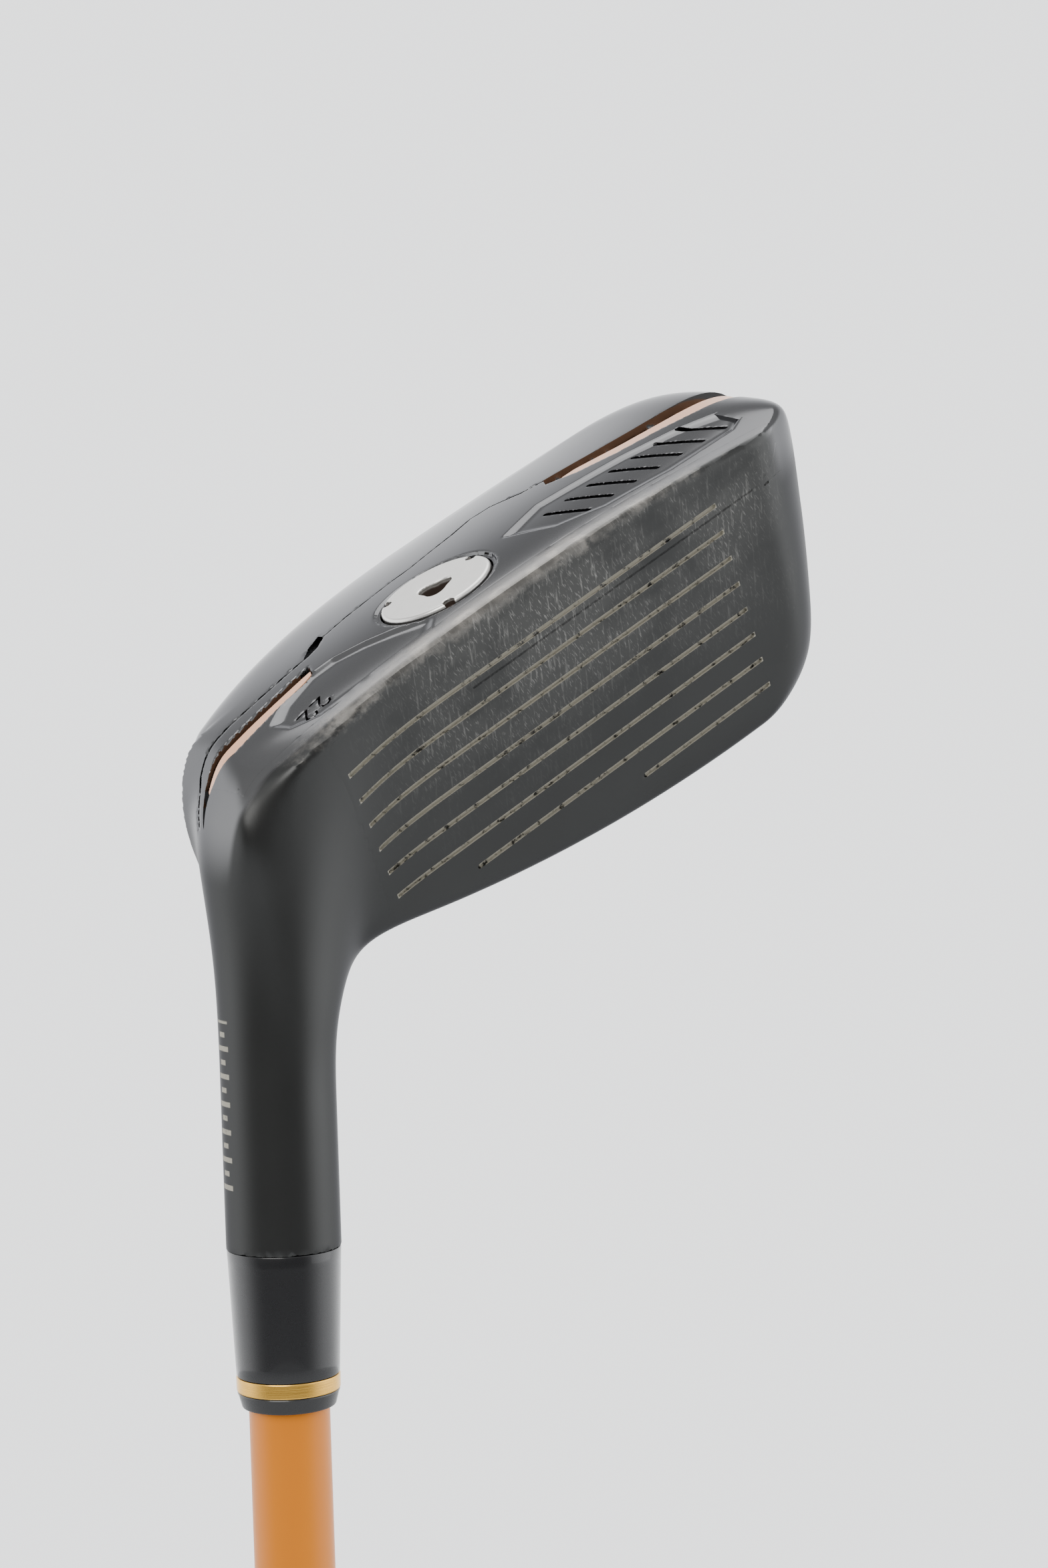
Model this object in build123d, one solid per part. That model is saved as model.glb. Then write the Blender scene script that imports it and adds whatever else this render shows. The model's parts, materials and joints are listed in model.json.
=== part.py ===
"""Hybrid golf club, modelled as the pieces it comes apart into on a bench.

The club's frame has its origin at the centre of the grip's butt face. +Z runs up the shaft to the
head, +X points towards the toe, and the club face looks towards -Y.

The head is drawn in its own address frame and then placed: x towards the toe, y towards the target
and z from the sole up to the crown. That frame's origin is the heel point, where the shaft's axis
crosses the level of the leading edge.
"""

import os
from math import cos, radians, sin

from build123d import *

# Club
HEEL_Z = 1003.0  # butt face to the heel point, along the shaft
LIE = 59.3  # shaft to ground, at address, in degrees
LOFT = 22.0  # face to the vertical, in degrees

# Head, outer shape
FACE_Y = 10.0  # how far the face plane stands in front of the shaft's axis, at z = 0
SOLE_LOW = (30.0, -16.2, -2.41)  # lowest point of the sole
SOLE_CAMBER = (0.0012, 0.0045)  # rise per square millimetre, along x and along y
SOLE_TWIST = 0.00002  # how much more the sole rises along x for each millimetre towards the target
CROWN_HIGH = (56.0, -5.0, 38.7)  # highest point of the crown
CROWN_CAMBER = (0.0028, 0.0098)  # fall per square millimetre, along x and along y
PLAN_OUTLINE = [(70.0, 14.0), (74.0, 3.0), (77.0, -14.0), (73.5, -33.0), (58.0, -47.0), (38.0, -51.0),
                (18.0, -45.0), (2.0, -31.0), (-8.5, -14.0), (-12.5, 0.0), (-11.5, 14.0)]
TOE_PROFILE = [(75.6, -8.0), (76.0, 1.0), (75.6, 9.0), (74.3, 18.0), (72.0, 27.0), (68.6, 33.5),
               (63.0, 37.6), (54.0, 40.0)]
HEEL_END_X = -16.0
HEAD_TOP_Z = 42.0
HEAD_FLOOR_Z = -8.0
EDGE_R = 2.0

# Head, walls
SOLE_WALL = 2.4
CROWN_WALL = 1.0
TOE_WALL = 1.8
SKIRT_SCALE = 0.955  # the cavity's outline, as a share of the plan outline
SKIRT_CENTRE = (33.0, -22.0)
FACE_WALL = 2.6
CAVITY_HEEL_X = -9.0

# Face plate and its scored lines, in x and height up the face
FACE_PLATE_OUTLINE = [(4.0, 5.4), (28.0, 4.3), (52.0, 5.2), (67.0, 8.0), (68.5, 17.0), (65.5, 27.5),
                      (59.5, 34.5), (46.0, 35.0), (24.0, 29.5), (4.5, 24.0)]
GROOVE_PITCH = 3.9
GROOVE_FIRST = 8.1
GROOVE_WIDTH = 0.8
GROOVE_DEPTH = 0.4
GROOVE_TOE_X = 59.7
GROOVE_HEEL_X = (3.3, 3.3, 3.3, 3.3, 3.3, 3.3, 14.4, 39.3)
GROOVE_SHIFT = 0.65  # each groove starts a little further from the heel than the last

# Crown plate, in plan
CROWN_PLATE_OUTLINE = [(4.0, -10.0), (30.0, -9.5), (56.0, -10.0), (63.0, -18.0), (58.0, -34.0),
                       (40.0, -43.0), (22.0, -37.0), (8.0, -23.0)]

# Sole plate, in plan, with its stepped rear edge
SEAM = [(-9.0, -6.1), (-2.8, -7.9), (4.1, -9.3), (12.0, -10.9), (16.2, -13.5), (23.3, -14.7),
        (30.2, -16.0), (38.1, -19.2), (45.6, -21.4), (48.8, -18.0), (52.6, -18.8), (61.7, -18.7),
        (72.0, -16.8)]
SOLE_PLATE_FRONT_Y = 6.0

# Channels in the sole plate, in plan, and the strips bonded along their front walls
TOE_CHANNEL = [(51.6, -13.2), (55.2, -12.4), (61.6, -11.5), (71.0, -9.9), (71.0, -12.7), (65.7, -13.7),
               (59.2, -14.5), (52.6, -14.8)]
HEEL_CHANNEL = [(-7.4, -0.2), (0.0, -0.7), (6.2, -2.3), (9.4, -4.3), (10.4, -6.7), (6.3, -6.0),
                (-1.3, -4.5), (-7.4, -3.2)]
CHANNEL_DEPTH = 1.1
INLAY_THICKNESS = 0.5
INLAY_BACK_GAP = 1.3

# Weight screw and its port
PORT_CENTRE = (27.7, -2.9, -1.62)  # on the sole's surface, on the port's axis
PORT_TILT = 7.0  # port axis to the vertical, tipped towards the target, in degrees
RECESS_R = 8.3
RECESS_DEPTH = 0.5
PORT_R = 7.8
WEIGHT_HEAD_R = 7.5
WEIGHT_HEAD_T = 1.8
WEIGHT_SHANK_R = 4.5
WEIGHT_SHANK_L = 9.0
WEIGHT_SOCKET_R = 2.7
WEIGHT_SOCKET_ROUND = 0.5
WEIGHT_SOCKET_DEPTH = 3.2
NOTCH_R = 0.7
NOTCH_DEPTH = 0.7
THREAD_CLEARANCE = 0.05
BUSH_R = 8.6
BUSH_FLOOR = 1.5
BUSH_END_GAP = 1.0  # below the screw's end
SEAL_R = 7.3
SEAL_T = 0.6
SEAL_GAP = 0.05

# Hosel and what is in it
MOUTH_Z = HEEL_Z - 60.0
HOSEL_R = 6.67
HOSEL_STRAIGHT = 29.0
HOSEL_ROOT_R = 9.4
HOSEL_ROOT_Z = HEEL_Z - 12.6
BORE_R = 4.8
BORE_DEPTH = 34.0
DRAIN_R = 3.5
PLUG_LENGTH = 5.0
TIP_R = 4.7
HOT_MELT_CENTRE = (50.0, -31.0, -0.5)
HOT_MELT_SIZE = (9.0, 6.0, 5.0)

# Ferrule
SLEEVE_LENGTH = 14.8
SLEEVE_END_R = 6.0
TRIM_LENGTH = 1.8
TRIM_R = 6.05
END_RING_LENGTH = 1.9
END_RING_R = 5.8
END_RING_ROUND = 0.6

# Shaft
BUTT_R = 7.6
BUTT_WALL = 1.3
BUTT_PARALLEL_TOP_Z = 280.0
TIP_BORE_R = 2.5
TIP_PARALLEL = 76.0
TIP_WEIGHT_LENGTH = 18.0

# Grip
GRIP_TOP_Z = 268.0
GRIP_PROFILE = [(8.7, 268.0), (9.0, 264.0), (9.6, 200.0), (10.7, 120.0), (12.2, 60.0), (13.3, 25.0),
                (14.2, 11.0), (15.0, 4.0)]
TAPE_TOP_Z = 265.0
TAPE_T = 0.25
CAP_T = 4.0
CAP_R = 15.2
CAP_ROUND = 1.5
VENT_R = 1.5

SKEW = radians(90.0 - LIE)
HEAD = Plane(origin=(0, 0, HEEL_Z), x_dir=(cos(SKEW), 0, sin(SKEW)), z_dir=(sin(SKEW), 0, -cos(SKEW)))
FACE = Plane(origin=(0, FACE_Y, 0), x_dir=(1, 0, 0), z_dir=(0, cos(radians(LOFT)), sin(radians(LOFT))))
PORT = Plane(origin=PORT_CENTRE, x_dir=(1, 0, 0),
             z_dir=(0, sin(radians(PORT_TILT)), -cos(radians(PORT_TILT))))


def smooth_face(points):
    """Face inside a smooth outline, closed by one straight edge."""
    curve = Spline(*points)
    return make_face(curve + Line(curve @ 1, curve @ 0))


def straight_face(points):
    """Face inside an outline with straight edges."""
    return make_face(Polyline(*points, close=True))


def rod(radius, low, high, plane=Plane.XY):
    """Cylinder along a plane's normal, between two distances from the plane."""
    return plane.location * Pos(0, 0, low) * Cylinder(radius, high - low,
                                                      align=(Align.CENTER, Align.CENTER, Align.MIN))


def turned(points):
    """Solid of revolution about the shaft's axis, from radius and height points."""
    return revolve(straight_face([(r, 0, z) for r, z in points]), Axis.Z)


def sheet(height):
    """Smooth face over the head's whole plan, at the height that a function gives."""
    xs = [-20.0 + 8.0 * i for i in range(14)]
    ys = [-62.0 + 8.0 * j for j in range(11)]
    return Face.make_surface_from_array_of_points([[(x, y, height(x, y)) for y in ys] for x in xs])


def sole_height(x, y):
    """Height of the sole's outer surface."""
    low_x, low_y, low_z = SOLE_LOW
    along_x = max(SOLE_CAMBER[0] + SOLE_TWIST * (y - low_y), 0.0)
    return low_z + along_x * (x - low_x) ** 2 + SOLE_CAMBER[1] * (y - low_y) ** 2


def crown_height(x, y):
    """Height of the crown's outer surface."""
    high_x, high_y, high_z = CROWN_HIGH
    return high_z - CROWN_CAMBER[0] * (x - high_x) ** 2 - CROWN_CAMBER[1] * (y - high_y) ** 2


def above_sole(lift):
    """Space above the sole's surface, raised by a wall."""
    return extrude(sheet(lambda x, y: sole_height(x, y) + lift), amount=60, dir=(0, 0, 1))


def below_crown(drop):
    """Space below the crown's surface, lowered by a wall."""
    return extrude(sheet(lambda x, y: crown_height(x, y) - drop), amount=60, dir=(0, 0, -1))


def behind_face(depth):
    """Space behind the face plane, moved back by a wall."""
    block = Box(160, 120, 120, align=(Align.CENTER, Align.CENTER, Align.MAX))
    return FACE.location * Pos(30, -20, -depth) * block


def upright(face):
    """Upright prism through the whole head, on a plan face."""
    return Pos(0, 0, HEAD_FLOOR_Z) * extrude(face, amount=HEAD_TOP_Z - HEAD_FLOOR_Z)


def plan_prism(scale):
    """Upright prism on the head's plan outline, scaled about the outline's middle."""
    middle_x, middle_y = SKIRT_CENTRE
    points = [(middle_x + scale * (x - middle_x), middle_y + scale * (y - middle_y)) for x, y in PLAN_OUTLINE]
    return upright(smooth_face(points))


def toe_prism(inset):
    """Space inside the toe's side profile, as seen square to the face."""
    points = [(x - inset, z) for x, z in TOE_PROFILE]
    border = Polyline(points[-1], (points[-1][0], HEAD_TOP_Z), (HEEL_END_X, HEAD_TOP_Z),
                      (HEEL_END_X, HEAD_FLOOR_Z), points[0])
    return extrude(Plane.XZ * make_face(Spline(*points) + border), amount=80, both=True)


def head_blank():
    """Outside of the head without its hosel, with its edges rounded."""
    blank = plan_prism(1.0) & toe_prism(0) & above_sole(0) & below_crown(0) & behind_face(0)
    return fillet(blank.edges(), EDGE_R)


def head_cavity():
    """Hollow inside the head."""
    heel_stop = Pos(CAVITY_HEEL_X, 0, 0) * Box(160, 160, 160, align=(Align.MIN, Align.CENTER, Align.CENTER))
    hollow = plan_prism(SKIRT_SCALE) & toe_prism(TOE_WALL) & above_sole(SOLE_WALL) & below_crown(CROWN_WALL)
    return hollow & behind_face(FACE_WALL) & heel_stop


def face_opening():
    """Space that the face plate fills, open to the front."""
    outline = smooth_face([(x, -height) for x, height in FACE_PLATE_OUTLINE])
    return FACE.location * Pos(0, 0, -FACE_WALL) * extrude(outline, amount=FACE_WALL + 1)


def crown_opening():
    """Space that the crown plate fills, open to the top."""
    return upright(smooth_face(CROWN_PLATE_OUTLINE)) - below_crown(CROWN_WALL)


def sole_opening():
    """Space that the sole plate fills, open to the bottom."""
    front = [(SEAM[-1][0], SOLE_PLATE_FRONT_Y), (SEAM[0][0], SOLE_PLATE_FRONT_Y)]
    return upright(straight_face(SEAM + front)) - above_sole(SOLE_WALL)


def grooves():
    """Scored lines, as rounded slots ready to cut."""
    cutters = []
    for number, heel_x in enumerate(GROOVE_HEEL_X):
        start = heel_x + (GROOVE_SHIFT * number / 7 if number < 6 else 0)
        height = GROOVE_FIRST + GROOVE_PITCH * number
        length = GROOVE_TOE_X - start
        slot = SlotOverall(length, GROOVE_WIDTH)
        place = FACE.location * Pos(start + length / 2, -height, -GROOVE_DEPTH)
        cutters.append(place * extrude(slot, amount=1))
    return cutters


def channel(outline, depth):
    """Space from below the sole up to a depth inside it, on a plan outline."""
    return upright(straight_face(outline)) - above_sole(depth)


def inlay(outline):
    """Thin strip on a channel's floor, along its front wall."""
    whole = upright(straight_face(outline))
    strip = whole & Pos(0, INLAY_BACK_GAP, 0) * whole
    return (strip & above_sole(CHANNEL_DEPTH - INLAY_THICKNESS)) - above_sole(CHANNEL_DEPTH)


def hosel():
    """Outside of the hosel, with its root swelling into the heel."""
    straight_top = MOUTH_Z + HOSEL_STRAIGHT
    neck = turned([(0, MOUTH_Z), (HOSEL_R, MOUTH_Z), (HOSEL_R, straight_top),
                   (HOSEL_ROOT_R, HOSEL_ROOT_Z), (0, HOSEL_ROOT_Z)])
    return neck + Pos(0, 0, HOSEL_ROOT_Z) * Sphere(HOSEL_ROOT_R)


def weight_depths():
    """Distances below the port's face: head's top, head's underside, bush's face and shank's end."""
    top = -RECESS_DEPTH
    under = top - WEIGHT_HEAD_T
    return top, under, under - SEAL_T - 2 * SEAL_GAP, under - WEIGHT_SHANK_L


def sole_weight():
    """Weight screw with a three-cornered drive socket and three notches in its rim."""
    top, under, _, end = weight_depths()
    screw = rod(WEIGHT_HEAD_R, under, top, PORT) + rod(WEIGHT_SHANK_R, end, under, PORT)
    triangle = RegularPolygon(WEIGHT_SOCKET_R, 3, rotation=180)
    triangle = fillet(triangle.vertices(), WEIGHT_SOCKET_ROUND)
    screw -= PORT.location * Pos(0, 0, top - WEIGHT_SOCKET_DEPTH) * extrude(triangle, amount=WEIGHT_SOCKET_DEPTH)
    for notch in PolarLocations(WEIGHT_HEAD_R, 3, start_angle=40):
        screw -= PORT.location * notch * rod(NOTCH_R, top - NOTCH_DEPTH, top)
    return screw


def weight_seal_ring():
    """Washer under the weight screw's head."""
    _, under, face, _ = weight_depths()
    low, high = face + SEAL_GAP, under - SEAL_GAP
    return rod(SEAL_R, low, high, PORT) - rod(WEIGHT_SHANK_R + THREAD_CLEARANCE, low, high, PORT)


def weight_port_bush():
    """Threaded boss behind the sole plate."""
    _, _, face, end = weight_depths()
    bore_end = end - BUSH_END_GAP
    boss = rod(BUSH_R, bore_end - BUSH_FLOOR, face, PORT) & behind_face(FACE_WALL)
    return boss - rod(WEIGHT_SHANK_R + THREAD_CLEARANCE, bore_end, face, PORT)


def port_cut():
    """Recess, port and spot face through the sole plate."""
    _, _, face, end = weight_depths()
    return rod(RECESS_R, -RECESS_DEPTH, 3, PORT) + rod(PORT_R, face, 0, PORT) + rod(BUSH_R, end, face, PORT)


def head_pieces():
    """Pieces of the head that are drawn in the address frame."""
    blank = head_blank()
    shell = blank - head_cavity()
    pieces = {
        "face_plate": (shell & face_opening()) - grooves(),
        "crown_plate": shell & crown_opening(),
        "sole_plate": (shell & sole_opening()) - port_cut()
        - channel(TOE_CHANNEL, CHANNEL_DEPTH) - channel(HEEL_CHANNEL, CHANNEL_DEPTH),
        "toe_channel_inlay": inlay(TOE_CHANNEL),
        "heel_channel_inlay": inlay(HEEL_CHANNEL),
        "weight_port_bush": weight_port_bush(),
        "weight_seal_ring": weight_seal_ring(),
        "sole_weight": sole_weight(),
        "hot_melt_pad": Pos(*HOT_MELT_CENTRE) * scale(Sphere(1), HOT_MELT_SIZE) & above_sole(SOLE_WALL),
    }
    placed = {name: HEAD.location * piece for name, piece in pieces.items()}
    openings = face_opening() + crown_opening() + sole_opening() + port_cut()
    casting = (HEAD.location * blank) + hosel()
    casting = casting - HEAD.location * head_cavity() - HEAD.location * openings
    placed["head_body"] = casting - rod(BORE_R, MOUTH_Z, MOUTH_Z + BORE_DEPTH) - rod(DRAIN_R, MOUTH_Z, HEEL_Z - 8)
    return placed


def shaft_seat_z():
    """Height of the shaft's tip end, which stands on the bore plug."""
    return MOUTH_Z + BORE_DEPTH - PLUG_LENGTH


def ferrule_pieces():
    """Three rings that trim the shaft below the hosel's mouth."""
    trim_top = MOUTH_Z - SLEEVE_LENGTH
    end_top = trim_top - TRIM_LENGTH
    end_low = end_top - END_RING_LENGTH
    return {
        "ferrule_sleeve": turned([(TIP_R, trim_top), (SLEEVE_END_R, trim_top), (HOSEL_R, MOUTH_Z),
                                  (TIP_R, MOUTH_Z)]),
        "ferrule_trim_ring": turned([(TIP_R, end_top), (TRIM_R, end_top), (TRIM_R, trim_top),
                                     (TIP_R, trim_top)]),
        "ferrule_end_ring": turned([(TIP_R, end_low), (END_RING_R - END_RING_ROUND, end_low),
                                    (END_RING_R, end_low + END_RING_ROUND), (END_RING_R, end_top),
                                    (TIP_R, end_top)]),
    }


def shaft_pieces():
    """Shaft, what closes and holds its tip, and the plug inside it."""
    tip = shaft_seat_z()
    butt_bore = BUTT_R - BUTT_WALL
    return {
        "shaft": turned([(butt_bore, CAP_T), (BUTT_R, CAP_T), (BUTT_R, BUTT_PARALLEL_TOP_Z),
                         (TIP_R, tip - TIP_PARALLEL), (TIP_R, tip), (TIP_BORE_R, tip),
                         (TIP_BORE_R, tip - TIP_PARALLEL), (butt_bore, BUTT_PARALLEL_TOP_Z)]),
        "tip_weight": rod(TIP_BORE_R, tip - TIP_WEIGHT_LENGTH, tip),
        "hosel_epoxy": rod(BORE_R, MOUTH_Z, tip) - rod(TIP_R, MOUTH_Z, tip),
        "bore_plug": rod(BORE_R, tip, MOUTH_Z + BORE_DEPTH),
    }


def grip_pieces():
    """Rubber grip, its cap and the tape under it."""
    inner = BUTT_R + TAPE_T
    side = [Vector(r, 0, z) for r, z in GRIP_PROFILE]
    border = Polyline(side[-1], (inner, 0, CAP_T), (inner, 0, GRIP_TOP_Z), side[0])
    cap = rod(CAP_R, 0, CAP_T)
    cap = fillet(cap.edges().sort_by(Axis.Z)[0], CAP_ROUND)
    return {
        "grip_sleeve": revolve(make_face(Spline(*side) + border), Axis.Z),
        "grip_tape": rod(inner, CAP_T, TAPE_TOP_Z) - rod(BUTT_R, CAP_T, TAPE_TOP_Z),
        "grip_cap": cap - rod(VENT_R, 0, CAP_T),
    }


def main():
    """Build every piece and write it under its own name."""
    os.makedirs("parts", exist_ok=True)
    pieces = head_pieces() | ferrule_pieces() | shaft_pieces() | grip_pieces()
    for name, piece in pieces.items():
        export_step(piece, f"parts/{name}.step")


main()
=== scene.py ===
"""Looks of a hybrid golf club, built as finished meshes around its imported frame.

The head is written in its address frame, in millimetres: x towards the toe, y towards the target and
z from the sole up to the crown. Its origin is the heel point, where the shaft's axis meets the ground
line. Meshes are placed in the club's own frame, in metres, which has +Z running up the shaft.
"""

import json
import logging
import math
from collections.abc import Callable, Sequence
from dataclasses import dataclass
from enum import Enum

import bpy
import numpy as np
from mathutils import Matrix, Vector


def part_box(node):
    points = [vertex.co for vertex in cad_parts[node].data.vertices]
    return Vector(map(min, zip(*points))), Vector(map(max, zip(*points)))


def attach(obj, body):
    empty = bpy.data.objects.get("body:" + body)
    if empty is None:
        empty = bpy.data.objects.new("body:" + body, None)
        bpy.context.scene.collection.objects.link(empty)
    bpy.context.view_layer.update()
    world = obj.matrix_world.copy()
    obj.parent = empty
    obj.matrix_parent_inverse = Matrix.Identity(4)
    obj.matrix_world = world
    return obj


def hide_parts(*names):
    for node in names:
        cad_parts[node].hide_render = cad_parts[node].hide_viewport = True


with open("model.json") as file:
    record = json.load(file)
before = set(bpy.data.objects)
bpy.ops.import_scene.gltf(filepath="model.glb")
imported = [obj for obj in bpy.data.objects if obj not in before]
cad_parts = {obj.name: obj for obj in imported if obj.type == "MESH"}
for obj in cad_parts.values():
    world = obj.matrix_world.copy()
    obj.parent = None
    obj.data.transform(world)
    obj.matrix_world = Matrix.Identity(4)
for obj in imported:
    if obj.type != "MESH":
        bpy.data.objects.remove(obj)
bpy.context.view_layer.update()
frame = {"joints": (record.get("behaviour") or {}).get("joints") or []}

log = logging.getLogger("club")

Array = np.ndarray
Point = tuple[float, float, float]
Outline = Sequence[tuple[float, float]]
Colour = tuple[float, float, float]

MM = 0.001
LIE = math.radians(59.3)
LOFT = math.radians(22.0)
FACE_Y = 10.0
HOSEL_LENGTH = 60.0
SHARP_ANGLE = math.radians(32.0)
TINY = 1e-12


# ---------------------------------------------------------------- places and fields


@dataclass(frozen=True)
class Place:
    """A right-handed frame in millimetres, as an origin and three unit axes."""

    origin: Point
    axes: tuple[Point, Point, Point]

    def local(self, points: Array) -> Array:
        """Coordinates along this place's axes of points given in its parent."""
        return (points - np.array(self.origin)) @ np.array(self.axes).T

    def outer(self, points: Array) -> Array:
        """Coordinates in the parent of points given along this place's axes."""
        return np.array(self.origin) + points @ np.array(self.axes)


def head_place() -> Place:
    """The head's address frame inside the club's frame.

    Returns:
        A place whose origin is the heel point, found from the hosel's mouth.
    """
    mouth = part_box("ferrule_sleeve")[1].z / MM
    lean = math.pi / 2 - LIE
    toe = (math.cos(lean), 0.0, math.sin(lean))
    up = (math.sin(lean), 0.0, -math.cos(lean))
    return Place((0.0, 0.0, mouth + HOSEL_LENGTH), (toe, (0.0, -1.0, 0.0), up))


HEAD = head_place()
CLUB = Place((0.0, 0.0, 0.0), ((1.0, 0.0, 0.0), (0.0, 1.0, 0.0), (0.0, 0.0, 1.0)))
FACE = Place(
    (0.0, FACE_Y, 0.0),
    ((1.0, 0.0, 0.0), (0.0, -math.sin(LOFT), math.cos(LOFT)), (0.0, -math.cos(LOFT), -math.sin(LOFT))),
)


def port_place() -> Place:
    """The weight port's frame inside the head, with z along the screw's axis and out of the sole.

    Returns:
        A place on the sole's surface at the port's centre, read from the screw's joint.
    """
    hinge = next(j for j in frame["joints"] if j["name"] == "weight_turn")
    centre = HEAD.local(np.array(hinge["pos_m"]) / MM)
    out = np.array(HEAD.axes) @ np.array(hinge["axis"])
    across = np.cross([0.0, 1.0, 0.0], out)
    across /= np.linalg.norm(across)
    rows = (across, np.cross(out, across), out)
    return Place(tuple(centre), tuple(tuple(float(v) for v in row) for row in rows))


PORT = port_place()


def soft_max(a: Array, b: Array, blend: Array | float) -> Array:
    """Larger of two fields, rounded where they cross.

    Args:
        a: First field's values.
        b: Second field's values.
        blend: Width of the rounding, in the fields' own unit.

    Returns:
        The rounded maximum.
    """
    width = np.maximum(blend, 1e-6)
    share = np.maximum(width - np.abs(a - b), 0.0) / width
    return np.maximum(a, b) + share**3 * width / 6


def ramp(value: Array, start: float, end: float) -> Array:
    """Smooth step from 0 at start to 1 at end."""
    share = np.clip((value - start) / (end - start), 0.0, 1.0)
    return share * share * (3 - 2 * share)


@dataclass(frozen=True)
class Field:
    """A signed distance in millimetres: negative inside a shape and positive outside it."""

    distance: Callable[[Array], Array]

    def __call__(self, points: Array) -> Array:
        """Distances of points."""
        return self.distance(points)

    def meet(self, other: "Field", blend: float = 0.0) -> "Field":
        """What is inside both shapes."""
        return Field(lambda p: soft_max(self(p), other(p), blend))

    def join(self, other: "Field", blend: float = 0.0) -> "Field":
        """What is inside either shape."""
        return Field(lambda p: -soft_max(-self(p), -other(p), blend))

    def without(self, other: "Field", blend: float = 0.0) -> "Field":
        """What is inside this shape and outside the other."""
        return Field(lambda p: soft_max(self(p), -other(p), blend))

    def grown(self, amount: float) -> "Field":
        """The same shape with its skin moved out."""
        return Field(lambda p: self(p) - amount)

    def flipped(self) -> "Field":
        """What is outside the shape."""
        return Field(lambda p: -self(p))

    def placed(self, place: Place) -> "Field":
        """The shape moved into a place."""
        return Field(lambda p: self(place.local(p)))


def outline_distance(points: Array, outline: Outline) -> Array:
    """Signed distance to a closed outline with straight edges.

    Args:
        points: Points, of which the first two coordinates count.
        outline: The outline's corners in order.

    Returns:
        Distances, negative inside.
    """
    px, py = points[..., 0], points[..., 1]
    nearest = np.full(px.shape, np.inf)
    inside = np.zeros(px.shape, bool)
    for (ax, ay), (bx, by) in zip(outline, [*outline[1:], outline[0]]):
        ex, ey = bx - ax, by - ay
        share = np.clip(((px - ax) * ex + (py - ay) * ey) / (ex * ex + ey * ey), 0.0, 1.0)
        dx, dy = px - ax - share * ex, py - ay - share * ey
        nearest = np.minimum(nearest, dx * dx + dy * dy)
        crosses = (ay > py) != (by > py)
        level = np.where(crosses, (py - ay) / (ey if ey else 1.0), 0.0)
        inside ^= crosses & (px < ax + level * ex)
    return np.where(inside, -1.0, 1.0) * np.sqrt(nearest)


def path_distance(points: Array, path: Outline) -> Array:
    """Distance to an open line of straight runs, in the first two coordinates.

    Args:
        points: Points to measure from.
        path: The line's points in order.

    Returns:
        Distances, never negative.
    """
    px, py = points[..., 0], points[..., 1]
    nearest = np.full(px.shape, np.inf)
    for (ax, ay), (bx, by) in zip(path, path[1:]):
        ex, ey = bx - ax, by - ay
        share = np.clip(((px - ax) * ex + (py - ay) * ey) / (ex * ex + ey * ey), 0.0, 1.0)
        nearest = np.minimum(nearest, (px - ax - share * ex) ** 2 + (py - ay - share * ey) ** 2)
    return np.sqrt(nearest)


def prism(outline: Outline, rounding: float = 0.0) -> Field:
    """Endless prism along z on an outline whose corners are rounded outwards."""
    return Field(lambda p: outline_distance(p, outline) - rounding)


def stroke(path: Outline, width: float) -> Field:
    """Endless prism along z on a round-ended line."""
    return Field(lambda p: path_distance(p, path) - width / 2)


def round_bar(radius: float) -> Field:
    """Endless round bar along z."""
    return Field(lambda p: np.hypot(p[..., 0], p[..., 1]) - radius)


def slab(low: float, high: float) -> Field:
    """Space between two heights along z."""
    return Field(lambda p: np.abs(p[..., 2] - (low + high) / 2) - (high - low) / 2)


def drum(radius: float, low: float, high: float, edge: float = 0.0) -> Field:
    """Round disc about z with rounded edges.

    Args:
        radius: The disc's radius.
        low: Height of its lower face.
        high: Height of its upper face.
        edge: Radius of its edges.

    Returns:
        The disc's field.
    """

    def distance(p: Array) -> Array:
        """Distance to the rounded disc.

        Args:
            p: Points about the disc's centre.

        Returns:
            Their distances.
        """
        side = np.hypot(p[..., 0], p[..., 1]) - radius + edge
        height = np.abs(p[..., 2] - (low + high) / 2) - (high - low) / 2 + edge
        outside = np.hypot(np.maximum(side, 0.0), np.maximum(height, 0.0))
        return outside + np.minimum(np.maximum(side, height), 0.0) - edge

    return Field(distance)


# ---------------------------------------------------------------- meshes


@dataclass(frozen=True)
class Lattice:
    """The grid that a field is sampled on, along a place's axes."""

    place: Place
    low: Point
    high: Point
    cell: Point
    block: int = 8
    margin: float = 1.35

    def corners(self, ids: Array) -> Array:
        """Parent coordinates of lattice points given by whole or part numbers of cells."""
        return self.place.outer(np.array(self.low) + ids * np.array(self.cell))

    def near_blocks(self, shape: Field) -> Array:
        """First cells of the blocks that the shape's skin may cross.

        Args:
            shape: The field to look at.

        Returns:
            One row of three cell numbers for each block.
        """
        cell = np.array(self.cell)
        counts = np.ceil((np.array(self.high) - np.array(self.low)) / (cell * self.block)).astype(int)
        ids = np.stack(np.meshgrid(*[np.arange(n) for n in counts], indexing="ij"), -1).reshape(-1, 3)
        reach = np.linalg.norm(cell * self.block) / 2 * self.margin
        values = shape(self.corners((ids + 0.5) * self.block))
        return ids[np.abs(values) < reach] * self.block


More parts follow.
